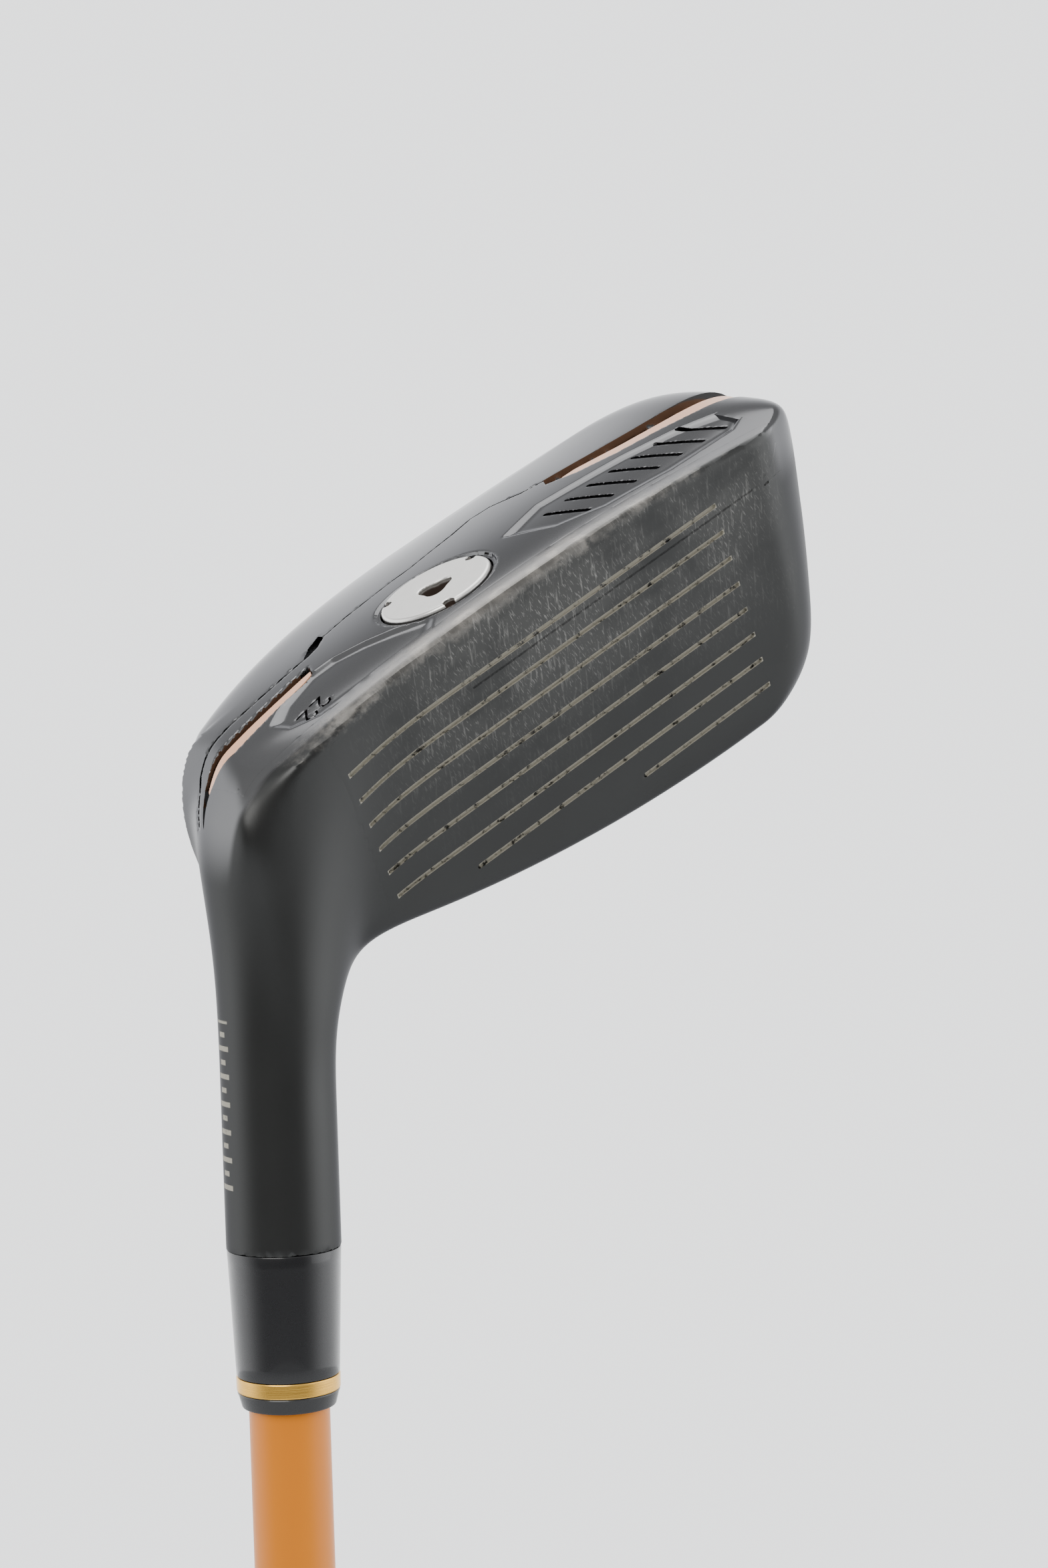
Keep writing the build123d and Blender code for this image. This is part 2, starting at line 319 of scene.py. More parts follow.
class Skin:
    """Closed mesh on a field's zero level, with crisp edges where the field has them.

    Each cell that the skin crosses gets one point, placed where the tangent planes of its crossings
    meet, and each crossed lattice edge gets one four-sided face.
    """

    GRADIENT_STEP = 0.008
    FLATNESS = 0.03
    HALVINGS = 5
    BATCH = 300

    def __init__(self, shape: Field, lattice: Lattice) -> None:
        """Samples the field and works out points and faces.

        Args:
            shape: The field whose skin is wanted.
            lattice: The grid to sample it on.
        """
        self.shape = shape
        self.lattice = lattice
        starts, axes, inner = self._crossed_edges()
        points = self._crossings(starts, axes, inner)
        normals = self._normals(points)
        cells, corners = self._cells(starts, axes)
        self.points = self._cell_points(points, normals, cells, corners)
        quads = corners.reshape(-1, 4)
        self.faces = np.where(inner[:, None], quads, quads[:, ::-1])

    def _crossed_edges(self) -> tuple[Array, Array, Array]:
        """Lattice edges whose ends lie on both sides of the skin.

        Returns:
            Their first points' numbers, their directions, and whether the first point is inside.
        """
        size = self.lattice.block
        local = np.stack(np.meshgrid(*[np.arange(size + 1)] * 3, indexing="ij"), -1)
        blocks = self.lattice.near_blocks(self.shape)
        found: list[tuple[Array, Array, Array]] = []
        for batch in np.array_split(blocks, max(1, len(blocks) // self.BATCH)):
            ids = batch[:, None, None, None, :] + local
            inside = self.shape(self.lattice.corners(ids)) < 0
            first = inside[:, :size, :size, :size]
            for axis in range(3):
                window = [slice(1, size + 1) if a == axis else slice(0, size) for a in range(3)]
                crossed = first != inside[:, window[0], window[1], window[2]]
                hits = ids[:, :size, :size, :size][crossed]
                found.append((hits, np.full(len(hits), axis), first[crossed]))
        return tuple(np.concatenate(parts) for parts in zip(*found))

    def _crossings(self, starts: Array, axes: Array, inner: Array) -> Array:
        """Points where the skin crosses the edges, found by halving and one straight-line step.

        Args:
            starts: Edge starts as lattice numbers.
            axes: Edge directions.
            inner: Whether each start is inside the shape.

        Returns:
            The crossing points in the parent's coordinates.
        """
        steps = np.eye(3)[axes]
        low, high = np.zeros(len(starts)), np.ones(len(starts))
        for _ in range(self.HALVINGS):
            middle = (low + high) / 2
            same = (self.shape(self.lattice.corners(starts + middle[:, None] * steps)) < 0) == inner
            low, high = np.where(same, middle, low), np.where(same, high, middle)
        ends = [self.shape(self.lattice.corners(starts + t[:, None] * steps)) for t in (low, high)]
        share = np.clip(ends[0] / (ends[0] - ends[1] + TINY), 0.0, 1.0)
        place = low + share * (high - low)
        return self.lattice.corners(starts + place[:, None] * steps)

    def _normals(self, points: Array) -> Array:
        """Unit gradients of the field.

        Args:
            points: Points on the skin.

        Returns:
            One unit vector for each.
        """
        base = self.shape(points)
        slopes = [self.shape(points + self.GRADIENT_STEP * axis) - base for axis in np.eye(3)]
        normals = np.stack(slopes, -1)
        return normals / np.maximum(np.linalg.norm(normals, axis=1, keepdims=True), TINY)

    def _cells(self, starts: Array, axes: Array) -> tuple[Array, Array]:
        """The four cells round each crossed edge.

        Args:
            starts: Edge starts as lattice numbers.
            axes: Edge directions.

        Returns:
            The distinct cells' keys, and for each edge four places in that list.
        """
        steps = np.eye(3, dtype=int)
        before, after = steps[(axes + 1) % 3], steps[(axes + 2) % 3]
        around = [starts, starts - before, starts - before - after, starts - after]
        cells = np.stack(around, 1) + 1
        span = cells.reshape(-1, 3).max(0) + 2
        keys = (cells[..., 0] * span[1] + cells[..., 1]) * span[2] + cells[..., 2]
        distinct, places = np.unique(keys.ravel(), return_inverse=True)
        return distinct, places.ravel()

    def _cell_points(self, points: Array, normals: Array, cells: Array, corners: Array) -> Array:
        """One point for each cell, where its crossings' tangent planes come nearest to meeting.

        Args:
            points: Crossing points.
            normals: Unit normals there.
            cells: Keys of the distinct cells.
            corners: Places in that list, four for each crossing.

        Returns:
            The cells' points.
        """
        source = np.repeat(np.arange(len(points)), 4)
        count = np.bincount(corners, minlength=len(cells)).astype(float)

        def gather(values: Array) -> Array:
            """Sum over each cell's crossings."""
            return np.bincount(corners, values[source], len(cells))

        middle = np.stack([gather(points[:, a]) for a in range(3)], -1) / count[:, None]
        matrix = np.empty((len(cells), 3, 3))
        for a in range(3):
            for b in range(3):
                matrix[:, a, b] = gather(normals[:, a] * normals[:, b])
        plane = (normals * points).sum(1)
        target = np.stack([gather(normals[:, a] * plane) for a in range(3)], -1)
        target -= np.einsum("nab,nb->na", matrix, middle)
        matrix += np.eye(3) * (self.FLATNESS * count)[:, None, None]
        shift = np.linalg.solve(matrix, target[..., None])[..., 0]
        limit = min(self.lattice.cell)
        length = np.linalg.norm(shift, axis=1, keepdims=True)
        return middle + shift * np.minimum(1.0, limit / np.maximum(length, TINY))


def make_object(name: str, points: Array, faces: Sequence[Sequence[int]] | Array) -> bpy.types.Object:
    """Mesh object in the club's frame, shaded smooth with crisp edges kept.

    Args:
        name: The object's name.
        points: Vertices in metres.
        faces: Vertex numbers of each face.

    Returns:
        The object, linked to the scene.
    """
    mesh = bpy.data.meshes.new(name)
    mesh.from_pydata(points.tolist(), [], faces.tolist() if isinstance(faces, np.ndarray) else faces)
    mesh.validate()
    mesh.shade_smooth()
    mesh.set_sharp_from_angle(angle=SHARP_ANGLE)
    piece = bpy.data.objects.new(name, mesh)
    bpy.context.scene.collection.objects.link(piece)
    return piece


def skin_object(name: str, shape: Field, lattice: Lattice) -> bpy.types.Object:
    """Object on a field that is written in the head's frame.

    Args:
        name: The object's name.
        shape: The field, in head millimetres.
        lattice: Where and how finely it is sampled.

    Returns:
        The object, in the club's frame.
    """
    skin = Skin(shape, lattice)
    return make_object(name, HEAD.outer(skin.points) * MM, skin.faces)


def lathe(name: str, profile: Outline, turns: int, relief: Callable[[Array, Array], Array] | None = None
          ) -> bpy.types.Object:
    """Closed solid of revolution about the shaft's axis.

    Args:
        name: The object's name.
        profile: Radius and height pairs in millimetres, round a closed loop.
        turns: How many columns of vertices go round.
        relief: Extra radius in millimetres from angle and height, if any.

    Returns:
        The object, in the club's frame.
    """
    loop = np.array(profile, float)
    angle = np.linspace(0, 2 * math.pi, turns, endpoint=False)
    radius = np.repeat(loop[:, :1], turns, 1)
    height = np.repeat(loop[:, 1:], turns, 1)
    if relief:
        radius = radius + relief(np.broadcast_to(angle, radius.shape), height)
    points = np.stack([radius * np.cos(angle), radius * np.sin(angle), height], -1).reshape(-1, 3)
    rows, columns = np.meshgrid(np.arange(len(loop)), np.arange(turns), indexing="ij")
    down, side = (rows + 1) % len(loop), (columns + 1) % turns
    faces = np.stack([rows * turns + columns, rows * turns + side, down * turns + side,
                      down * turns + columns], -1).reshape(-1, 4)
    return make_object(name, points * MM, faces)


# ---------------------------------------------------------------- shader maths


class Value:
    """A number socket that Python's operators turn into Math nodes."""

    def __init__(self, build: "Nodes", socket: bpy.types.NodeSocket) -> None:
        """Keeps the socket and the tree it lives in."""
        self.build = build
        self.socket = socket

    def _math(self, operation: str, *terms: "Value | float", clamp: bool = False) -> "Value":
        """Adds one Math node.

        Args:
            operation: The node's operation.
            terms: Its inputs.
            clamp: Whether its result stays between 0 and 1.

        Returns:
            The node's result.
        """
        node = self.build.add("ShaderNodeMath", {"operation": operation, "use_clamp": clamp},
                              dict(enumerate(terms)))
        return Value(self.build, node.outputs[0])

    def __add__(self, other: "Value | float") -> "Value":
        """Sum."""
        return self._math("ADD", self, other)

    __radd__ = __add__

    def __sub__(self, other: "Value | float") -> "Value":
        """Difference."""
        return self._math("SUBTRACT", self, other)

    def __rsub__(self, other: float) -> "Value":
        """Difference with the number first."""
        return self._math("SUBTRACT", other, self)

    def __mul__(self, other: "Value | float") -> "Value":
        """Product."""
        return self._math("MULTIPLY", self, other)

    __rmul__ = __mul__

    def __truediv__(self, other: "Value | float") -> "Value":
        """Quotient."""
        return self._math("DIVIDE", self, other)

    def __pow__(self, other: float) -> "Value":
        """Power."""
        return self._math("POWER", self, other)

    def __abs__(self) -> "Value":
        """Size without sign."""
        return self._math("ABSOLUTE", self)

    def larger(self, other: "Value | float") -> "Value":
        """The larger of two values."""
        return self._math("MAXIMUM", self, other)

    def smaller(self, other: "Value | float") -> "Value":
        """The smaller of two values."""
        return self._math("MINIMUM", self, other)

    def wrapped(self, period: float) -> "Value":
        """What is left over after whole periods."""
        return self._math("FLOORED_MODULO", self, period)

    def step(self, start: float, end: float) -> "Value":
        """Smooth step from 0 at start to 1 at end, which may lie either way round.

        Args:
            start: Value that gives 0.
            end: Value that gives 1.

        Returns:
            The step's value.
        """
        rising = end > start
        stops = (start, end, 0.0, 1.0) if rising else (end, start, 1.0, 0.0)
        names = ("From Min", "From Max", "To Min", "To Max")
        node = self.build.add("ShaderNodeMapRange", {"interpolation_type": "SMOOTHSTEP"},
                              {"Value": self, **dict(zip(names, stops))})
        return Value(self.build, node.outputs[0])


class Nodes:
    """Builds one node tree, for a material or for the world."""

    def __init__(self, owner: bpy.types.Material | bpy.types.World, shader: str = "BsdfPrincipled",
                 output: str = "OutputMaterial") -> None:
        """Starts an empty tree with one shader and its output.

        Args:
            owner: What the tree belongs to.
            shader: The shader's type, without its prefix.
            output: The output's type, without its prefix.
        """
        owner.use_nodes = True
        self.tree = owner.node_tree
        self.tree.nodes.clear()
        self.shader = self.add(f"ShaderNode{shader}")
        self.add(f"ShaderNode{output}", links={"Surface": self.shader.outputs[0]})

    def add(self, kind: str, settings: dict | None = None, links: dict | None = None) -> bpy.types.Node:
        """Adds a node.

        Args:
            kind: The node's type.
            settings: Its properties, set before its sockets.
            links: A value, colour, socket or Value for each input.

        Returns:
            The node.
        """
        node = self.tree.nodes.new(kind)
        for key, value in (settings or {}).items():
            setattr(node, key, value)
        for key, value in (links or {}).items():
            self.feed(node.inputs[key], value)
        return node

    def feed(self, socket: bpy.types.NodeSocket, value: object) -> None:
        """Links or sets one input.

        Args:
            socket: The input.
            value: What goes in: a Value, a socket or a plain value.
        """
        if isinstance(value, Value):
            value = value.socket
        if isinstance(value, bpy.types.NodeSocket):
            self.tree.links.new(value, socket)
        elif isinstance(value, tuple) and len(value) == 3 and len(socket.default_value) == 4:
            socket.default_value = (*value, 1.0)
        else:
            socket.default_value = value

    def position(self) -> bpy.types.NodeSocket:
        """Where a point is in the club's frame, in metres."""
        return self.add("ShaderNodeTexCoord").outputs["Object"]

    def along(self, place: Place) -> tuple[Value, Value, Value]:
        """Coordinates in millimetres along the axes of a place in the club's frame.

        Args:
            place: The place.

        Returns:
            One value for each axis.
        """
        spot = self.position()
        values = []
        for axis in place.axes:
            dot = self.add("ShaderNodeVectorMath", {"operation": "DOT_PRODUCT"}, {0: spot, 1: axis})
            offset = float(np.dot(place.origin, axis))
            values.append(Value(self, dot.outputs["Value"]) * (1 / MM) - offset)
        return tuple(values)

    def vector(self, x: Value | float, y: Value | float, z: Value | float) -> bpy.types.NodeSocket:
        """Vector from three values."""
        return self.add("ShaderNodeCombineXYZ", links={0: x, 1: y, 2: z}).outputs[0]

    def noise(self, where: bpy.types.NodeSocket, scale: float, detail: float = 3.0, rough: float = 0.55
              ) -> Value:
        """Cloudy noise between 0 and 1.

        Args:
            where: Coordinates.
            scale: Features per unit of the coordinates.
            detail: How many finer layers it has.
            rough: How strong those are.

        Returns:
            The noise's value.
        """
        node = self.add("ShaderNodeTexNoise", links={"Vector": where, "Scale": scale, "Detail": detail,
                                                     "Roughness": rough})
        return Value(self, node.outputs[0])

    def mix(self, share: Value | float, first: object, second: object) -> bpy.types.NodeSocket:
        """Blend of two colours.

        Args:
            share: How much of the second.
            first: First colour.
            second: Second colour.

        Returns:
            The blended colour.
        """
        node = self.add("ShaderNodeMix", {"data_type": "RGBA"}, {0: share, 6: first, 7: second})
        return node.outputs[2]

    def bump(self, height: Value, distance: float, strength: float = 1.0) -> None:
        """Small relief on the surface.

        Args:
            height: Height from 0 to 1.
            distance: What a height of 1 stands for, in metres.
            strength: Share of it that shows.
        """
        node = self.add("ShaderNodeBump",
                        links={"Strength": strength, "Distance": distance, "Height": height})
        self.set(Normal=node.outputs[0])

    def set(self, **sockets: object) -> "Nodes":
        """Sets the shader's sockets, written with _ for a space.

        Args:
            sockets: A value or link for each named socket.

        Returns:
            This builder.
        """
        for name, value in sockets.items():
            self.feed(self.shader.inputs[name.replace("_", " ")], value)
        return self


FACE_ROW = Place(
    tuple(HEAD.outer(np.array(FACE.origin))),
    tuple(tuple(float(v) for v in np.array(axis) @ np.array(HEAD.axes)) for axis in FACE.axes),
)
PORT_ROW = Place(
    tuple(HEAD.outer(np.array(PORT.origin))),
    tuple(tuple(float(v) for v in np.array(axis) @ np.array(HEAD.axes)) for axis in PORT.axes),
)


# ---------------------------------------------------------------- head


def remembered(shape: Field) -> Field:
    """The same field, which keeps its last answer for when the same array comes again.

    Args:
        shape: The field to keep answers for.

    Returns:
        The field with its memory.
    """
    last: dict[str, Array] = {}

    def distance(points: Array) -> Array:
        """Distances, worked out again only for a new array.

        Args:
            points: Points to measure.

        Returns:
            Their distances.
        """
        if last.get("points") is not points:
            last["points"], last["values"] = points, shape(points)
        return last["values"]

    return Field(distance)


@dataclass(frozen=True)
class HeadForm:
    """Outside of the head and hosel, as one blended form."""

    sole_low: Point = (30.0, -16.2, -2.41)
    sole_rise_front: float = 0.0045
    sole_rise_rear: float = 0.0038
    sole_across: float = 0.0012
    sole_twist: float = 0.00004
    sole_toe: float = -0.0015
    sole_toe_from: float = 58.0
    sole_twist_from: float = -10.0
    sole_flattest: float = 0.0003
    plan_centre: tuple[float, float] = (36.83, -12.0)
    plan_toe: float = 46.1
    plan_heel: float = 48.35
    plan_rear: float = 35.0
    plan_front: float = 60.0
    plan_power_toe: float = 2.59
    plan_power_heel: float = 1.05
    plan_power_front: float = 2.5
    plan_soft: tuple[float, float] = (5.0, 0.01)
    plan_core: float = 0.35
    plan_core_distance: float = -25.0
    toe_from: tuple[float, float] = (80.96, 1.5)
    toe_fall: float = 0.00718
    crown_high: Point = (57.2, -5.0, 38.0)
    crown_fall: tuple[float, float] = (0.00274, 0.0101)
    blend_toe: float = 7.6
    blend_crown: float = 6.5
    blend_face: tuple[float, float, float] = (1.8, 2.6, 24.1)
    blend_hosel: float = 16.7
    blend_sole: tuple[float, float, float] = (1.8, 9.4, 9.0)
    hosel_radius: float = 6.67
    mouth_edge: float = 0.5

    def sole_height(self, x: Array, y: Array) -> Array:
        """Height of the sole's surface.

        Args:
            x: Positions towards the toe.
            y: Positions towards the target.

        Returns:
            Heights in millimetres.
        """
        low_x, low_y, low_z = self.sole_low
        across = self.sole_across + self.sole_twist * (y - self.sole_twist_from)
        across = np.maximum(across, self.sole_flattest)
        rise = np.where(y > low_y, self.sole_rise_front, self.sole_rise_rear)
        toe = self.sole_toe * np.maximum(x - self.sole_toe_from, 0.0) ** 2
        return low_z + across * (x - low_x) ** 2 + rise * (y - low_y) ** 2 + toe

    def sole(self, p: Array) -> Array:
        """Distance below the sole's surface.

        Args:
            p: Points in the head's frame.

        Returns:
            Their distances.
        """
        x, y, z = p[..., 0], p[..., 1], p[..., 2]
        slope = 2 * self.sole_rise_front * (y - self.sole_low[1])
        tilt = 2 * self.sole_across * (x - self.sole_low[0])
        return (self.sole_height(x, y) - z) / np.sqrt(1 + slope**2 + tilt**2)

    def plan(self, p: Array) -> Array:
        """Distance outside the plan outline.

        Args:
            p: Points in the head's frame.

        Returns:
            Their distances.
        """
        dx, dy = p[..., 0] - self.plan_centre[0], p[..., 1] - self.plan_centre[1]
        wide = np.where(dx > 0, self.plan_toe, self.plan_heel)
        deep = np.where(dy > 0, self.plan_front, self.plan_rear)
        power = np.where(dx > 0, self.plan_power_toe, self.plan_power_heel)
        power = np.where(dy > 0, self.plan_power_front, power)
        soft = np.where(dx > 0, self.plan_soft[1], self.plan_soft[0])
        u = (np.hypot(dx, soft) - soft) / (np.hypot(wide, soft) - soft)
        v = np.abs(dy) / deep
        size = (u**power + v**power + TINY) ** (1 / power)
        slope = size ** (1 - power) * np.hypot(u ** (power - 1) / wide, v ** (power - 1) / deep)
        outside = (size - 1) / (slope + TINY)
        return np.where(size < self.plan_core, self.plan_core_distance, outside)

    def toe(self, p: Array) -> Array:
        """Distance outside the toe's side profile.

        Args:
            p: Points in the head's frame.

        Returns:
            Their distances.
        """
        from_x, from_z = self.toe_from
        z = np.maximum(p[..., 2] - from_z, 0.0)
        slope = 2 * self.toe_fall * z
        return (p[..., 0] - from_x + self.toe_fall * z**2) / np.sqrt(1 + slope**2)

    def crown(self, p: Array) -> Array:
        """Distance above the crown's surface.

        Args:
            p: Points in the head's frame.

        Returns:
            Their distances.
        """
        high_x, high_y, high_z = self.crown_high
        dx, dy = p[..., 0] - high_x, p[..., 1] - high_y
        fall_x, fall_y = self.crown_fall
        height = high_z - fall_x * dx**2 - fall_y * dy**2
        slope_x, slope_y = 2 * fall_x * dx, 2 * fall_y * dy
        return (p[..., 2] - height) / np.sqrt(1 + slope_x**2 + slope_y**2)

    def hosel(self, p: Array) -> Array:
        """Distance outside the hosel's round wall."""
        club = HEAD.outer(p)
        return np.hypot(club[..., 0], club[..., 1]) - self.hosel_radius

    def outside(self) -> Field:
        """The whole form, cut square at the hosel's mouth.

        Returns:
            Its field.
        """

        def distance(p: Array) -> Array:
            """Distance to the blended form.

            Args:
                p: Points in the head's frame.

            Returns:
                Their distances.
            """
            x, y, z = p[..., 0], p[..., 1], p[..., 2]
            side = soft_max(self.plan(p), self.toe(p), self.blend_toe)
            body = soft_max(side, self.crown(p), self.blend_crown)
            least, crown, toe = self.blend_face
            blend = least + crown * ramp(z, 2, 16) + toe * ramp(x, 58, 76)
            body = soft_max(body, -FACE.local(p)[..., 2], blend)
            whole = -soft_max(-body, -self.hosel(p), self.blend_hosel)
            least, rear, heel = self.blend_sole
            blend = least + rear * ramp(-y, -8, 10) + heel * ramp(-x, 2, 10)
            whole = soft_max(whole, self.sole(p), blend)
            mouth = HEAD.origin[2] - HOSEL_LENGTH - HEAD.outer(p)[..., 2]
            return soft_max(whole, mouth, self.mouth_edge)

        return remembered(Field(distance))


@dataclass(frozen=True)
class Grooves:
    """Scored lines of the face, in x and height up the face."""

    pitch: float = 3.888
    first: float = 8.11
    width: float = 0.62
    depth: float = 0.4
    floor_edge: float = 0.25
    toe: tuple[float, float] = (59.9, -0.058)
    heel: tuple[float, float] = (3.14, 0.071)
    short_heels: tuple[float, ...] = (14.4, 39.3)
    count: int = 8

    def lines(self) -> list[Outline]:
        """End points of each line.

        Returns:
            One pair of points for each line, lowest first.
        """
        found = []
        for number in range(self.count):
            height = self.first + self.pitch * number
            extra = number - (self.count - len(self.short_heels))
            heel = self.short_heels[extra] if extra >= 0 else self.heel[0] + self.heel[1] * number
            found.append(((heel, height), (self.toe[0] + self.toe[1] * number, height)))
        return found

    def cutter(self, outside: Field) -> Field:
        """All lines as round-ended troughs of one depth under the skin.

        Args:
            outside: The head's outside.

        Returns:
            Their field in the head's frame.
        """
        lines = self.lines()

        def distance(p: Array) -> Array:
            """Distance to the nearest line's wall or floor.

            Args:
                p: Points in the head's frame.

            Returns:
                Their distances.
            """
            local = FACE.local(p)
            across = np.min([path_distance(local, line) for line in lines], axis=0)
            return soft_max(across - self.width / 2, -outside(p) - self.depth, self.floor_edge)

        return Field(distance)


@dataclass(frozen=True)
class SoleLayout:
    """What is cut into the sole, as plan outlines and depths below its skin."""

    seam: Outline = ((-12.2, -2.2), (-11.5, -2.9), (-8.1, -5.9), (-1.4, -8.0), (6.2, -9.2), (12.0, -10.2),
                     (13.9, -11.0), (15.9, -13.1), (20.0, -14.3), (28.3, -15.8), (31.0, -16.0), (39.2, -18.7),
                     (43.0, -20.6), (46.0, -20.3), (49.2, -16.9), (52.0, -15.9), (58.6, -14.8), (66.2, -13.9),
                     (72.0, -13.5), (82.0, -13.2))
    seam_width: float = 0.4
    seam_depth: float = 0.6
    jog: Outline = ((11.6, -10.2), (13.6, -12.6), (15.9, -14.4), (15.9, -13.1), (13.9, -11.0))
    toe_channel: Outline = ((51.4, -13.6), (54.6, -10.9), (59.8, -9.3), (65.7, -8.6), (71.0, -7.4),
                            (82.0, -6.2), (82.0, -13.6), (72.0, -13.9), (65.7, -14.4), (58.6, -15.2),
                            (52.4, -16.1))
    toe_strip: Outline = ((53.2, -12.9), (55.0, -11.1), (59.8, -9.4), (65.7, -8.7), (71.0, -7.5),
                          (82.0, -6.3), (82.0, -10.4), (72.2, -10.6), (67.3, -11.1), (61.7, -11.8),
                          (55.4, -13.2))
    heel_channel: Outline = ((-12.5, -0.2), (-9.6, -0.9), (-4.4, -1.1), (1.5, -2.4), (7.9, -3.9), (9.6, -4.6),
                             (10.4, -7.1), (5.0, -6.1), (-0.8, -5.0), (-5.0, -4.1), (-9.0, -2.8))
    heel_strip: Outline = ((-9.6, -1.0), (-4.4, -1.2), (1.5, -2.5), (7.9, -4.0), (9.5, -4.7), (9.9, -5.7),
                           (5.0, -4.8), (-0.8, -3.8), (-5.0, -2.9), (-9.2, -1.9))
    channel_depth: float = 1.1
    strip_top: float = 0.18
    toe_panel: Outline = ((39.3, -3.9), (46.3, -7.4), (52.3, -7.0), (59.0, -6.6), (66.0, -5.0), (71.5, -2.4),
                          (73.0, 0.0), (68.5, 3.4), (58.1, 4.9), (48.7, 4.6), (43.0, 2.0))
    heel_panel: Outline = ((9.2, -3.2), (12.2, -2.9), (15.6, -1.0), (18.6, 1.4), (21.4, 3.9), (20.0, 5.6),
                           (11.0, 5.4), (5.0, 4.6), (2.5, 2.8), (2.0, 0.6), (4.5, -1.4))
    panel_depth: float = 0.35
    panel_edge: float = 2.2
    toe_panel_round: float = 0.6
    heel_panel_round: float = 1.6
    lowest: float = -12.0
    reach: float = 11.0

    def shell(self, outside: Field, depth: float) -> Field:
        """Space down to a depth under the sole's skin."""
        return outside.grown(-depth).flipped().meet(slab(self.lowest, self.reach))

    def seam_cut(self, outside: Field) -> Field:
        """The gap along the seam, with its wide corner."""
        line = stroke(self.seam, self.seam_width).join(prism(self.jog, 0.1))
        return line.meet(self.shell(outside, self.seam_depth))

    def channels(self, outside: Field) -> Field:
        """Both channels."""
        both = prism(self.toe_channel, 0.1).join(prism(self.heel_channel, 0.1))
        return both.meet(self.shell(outside, self.channel_depth), 0.2)

    def panels(self, outside: Field) -> Field:
        """The two shallow panels either side of the weight.

        Args:
            outside: The form they are sunk into.

        Returns:
            Their field.
        """
        both = prism(self.toe_panel, self.toe_panel_round)
        both = both.join(prism(self.heel_panel, self.heel_panel_round))
        return both.meet(self.shell(outside, self.panel_depth), self.panel_edge)


@dataclass(frozen=True)
class WeightPort:
    """Recess and port that the weight screw sits in, along the port's own z."""

    recess_radius: float = 7.95
    recess_depth: float = 0.5
    port_radius: float = 7.45
    floor: float = -3.0
    well_radius: float = 8.2
    well_depth: float = 16.0

    def cut(self) -> Field:
        """Space through the sole, with a rolled edge.

        Returns:
            Its field in the head's frame.
        """
        dish = drum(self.recess_radius, -self.recess_depth, 6.0, 0.2)
        return dish.join(drum(self.port_radius, self.floor - 1.0, 6.0)).placed(PORT)

    def well(self) -> Field:
        """Space behind the sole for the threaded boss."""
        return drum(self.well_radius, -self.well_depth, self.floor + 0.01).placed(PORT)


class Digits:
    """Plain numerals drawn with straight strokes, to be read from below the sole."""

    TWO: Outline = ((0.0, 2.0), (0.35, 2.55), (0.95, 2.7), (1.5, 2.4), (1.55, 1.8), (1.1, 1.2), (0.0, 0.0),
                    (1.7, 0.0))

    SPACING = 2.5

    @staticmethod
    def pair(corner: tuple[float, float], angle: float, size: float, width: float) -> Field:
        """Two numerals side by side, as strokes.

        Args:
            corner: Foot of the first numeral.
            angle: Direction in which they are read, in degrees.
            size: Scale of the numerals.
            width: Width of the strokes.

        Returns:
            Their field, endless along z.
        """
        along = size * math.cos(math.radians(angle))
        up = size * math.sin(math.radians(angle))
        parts = []
        for shift in (0.0, Digits.SPACING):
            path = [(corner[0] + (x + shift) * along + y * up, corner[1] + (x + shift) * up - y * along)
                    for x, y in Digits.TWO]
            parts.append(stroke(path, width))
        return parts[0].join(parts[1])


@dataclass(frozen=True)
class Marks:
    """Engraved decoration: slanted bars on the toe panel and the loft's number by the heel."""

    bar_start: float = 45.0
    bar_pitch: float = 3.6
    bar_count: int = 7
    bar_low: float = -5.2
    bar_high: float = 2.6
    bar_slant: float = 2.4
    bar_width: float = 0.75
    depth: float = 0.45
    digits_at: tuple[float, float] = (6.9, 1.5)
    digits_angle: float = 168.0
    digits_size: float = 0.95
    digits_width: float = 0.3
    bar_low_bend: float = 1.6
    bar_high_fall: float = 1.2

    def sole(self, outside: Field) -> Field:
        """Bars and numerals, cut to a depth under the skin.

        Args:
            outside: The form they are cut into.

        Returns:
            Their field.
        """
        lines = Digits.pair(self.digits_at, self.digits_angle, self.digits_size, self.digits_width)
        for number in range(self.bar_count):
            x = self.bar_start + self.bar_pitch * number
            share = number / (self.bar_count - 1)
            low = self.bar_low + self.bar_low_bend * (1 - share) ** 2
            high = self.bar_high - self.bar_high_fall * share
            lines = lines.join(stroke(((x, low), (x + self.bar_slant, high)), self.bar_width))
        return lines.meet(SoleLayout().shell(outside, self.depth + SoleLayout().panel_depth))


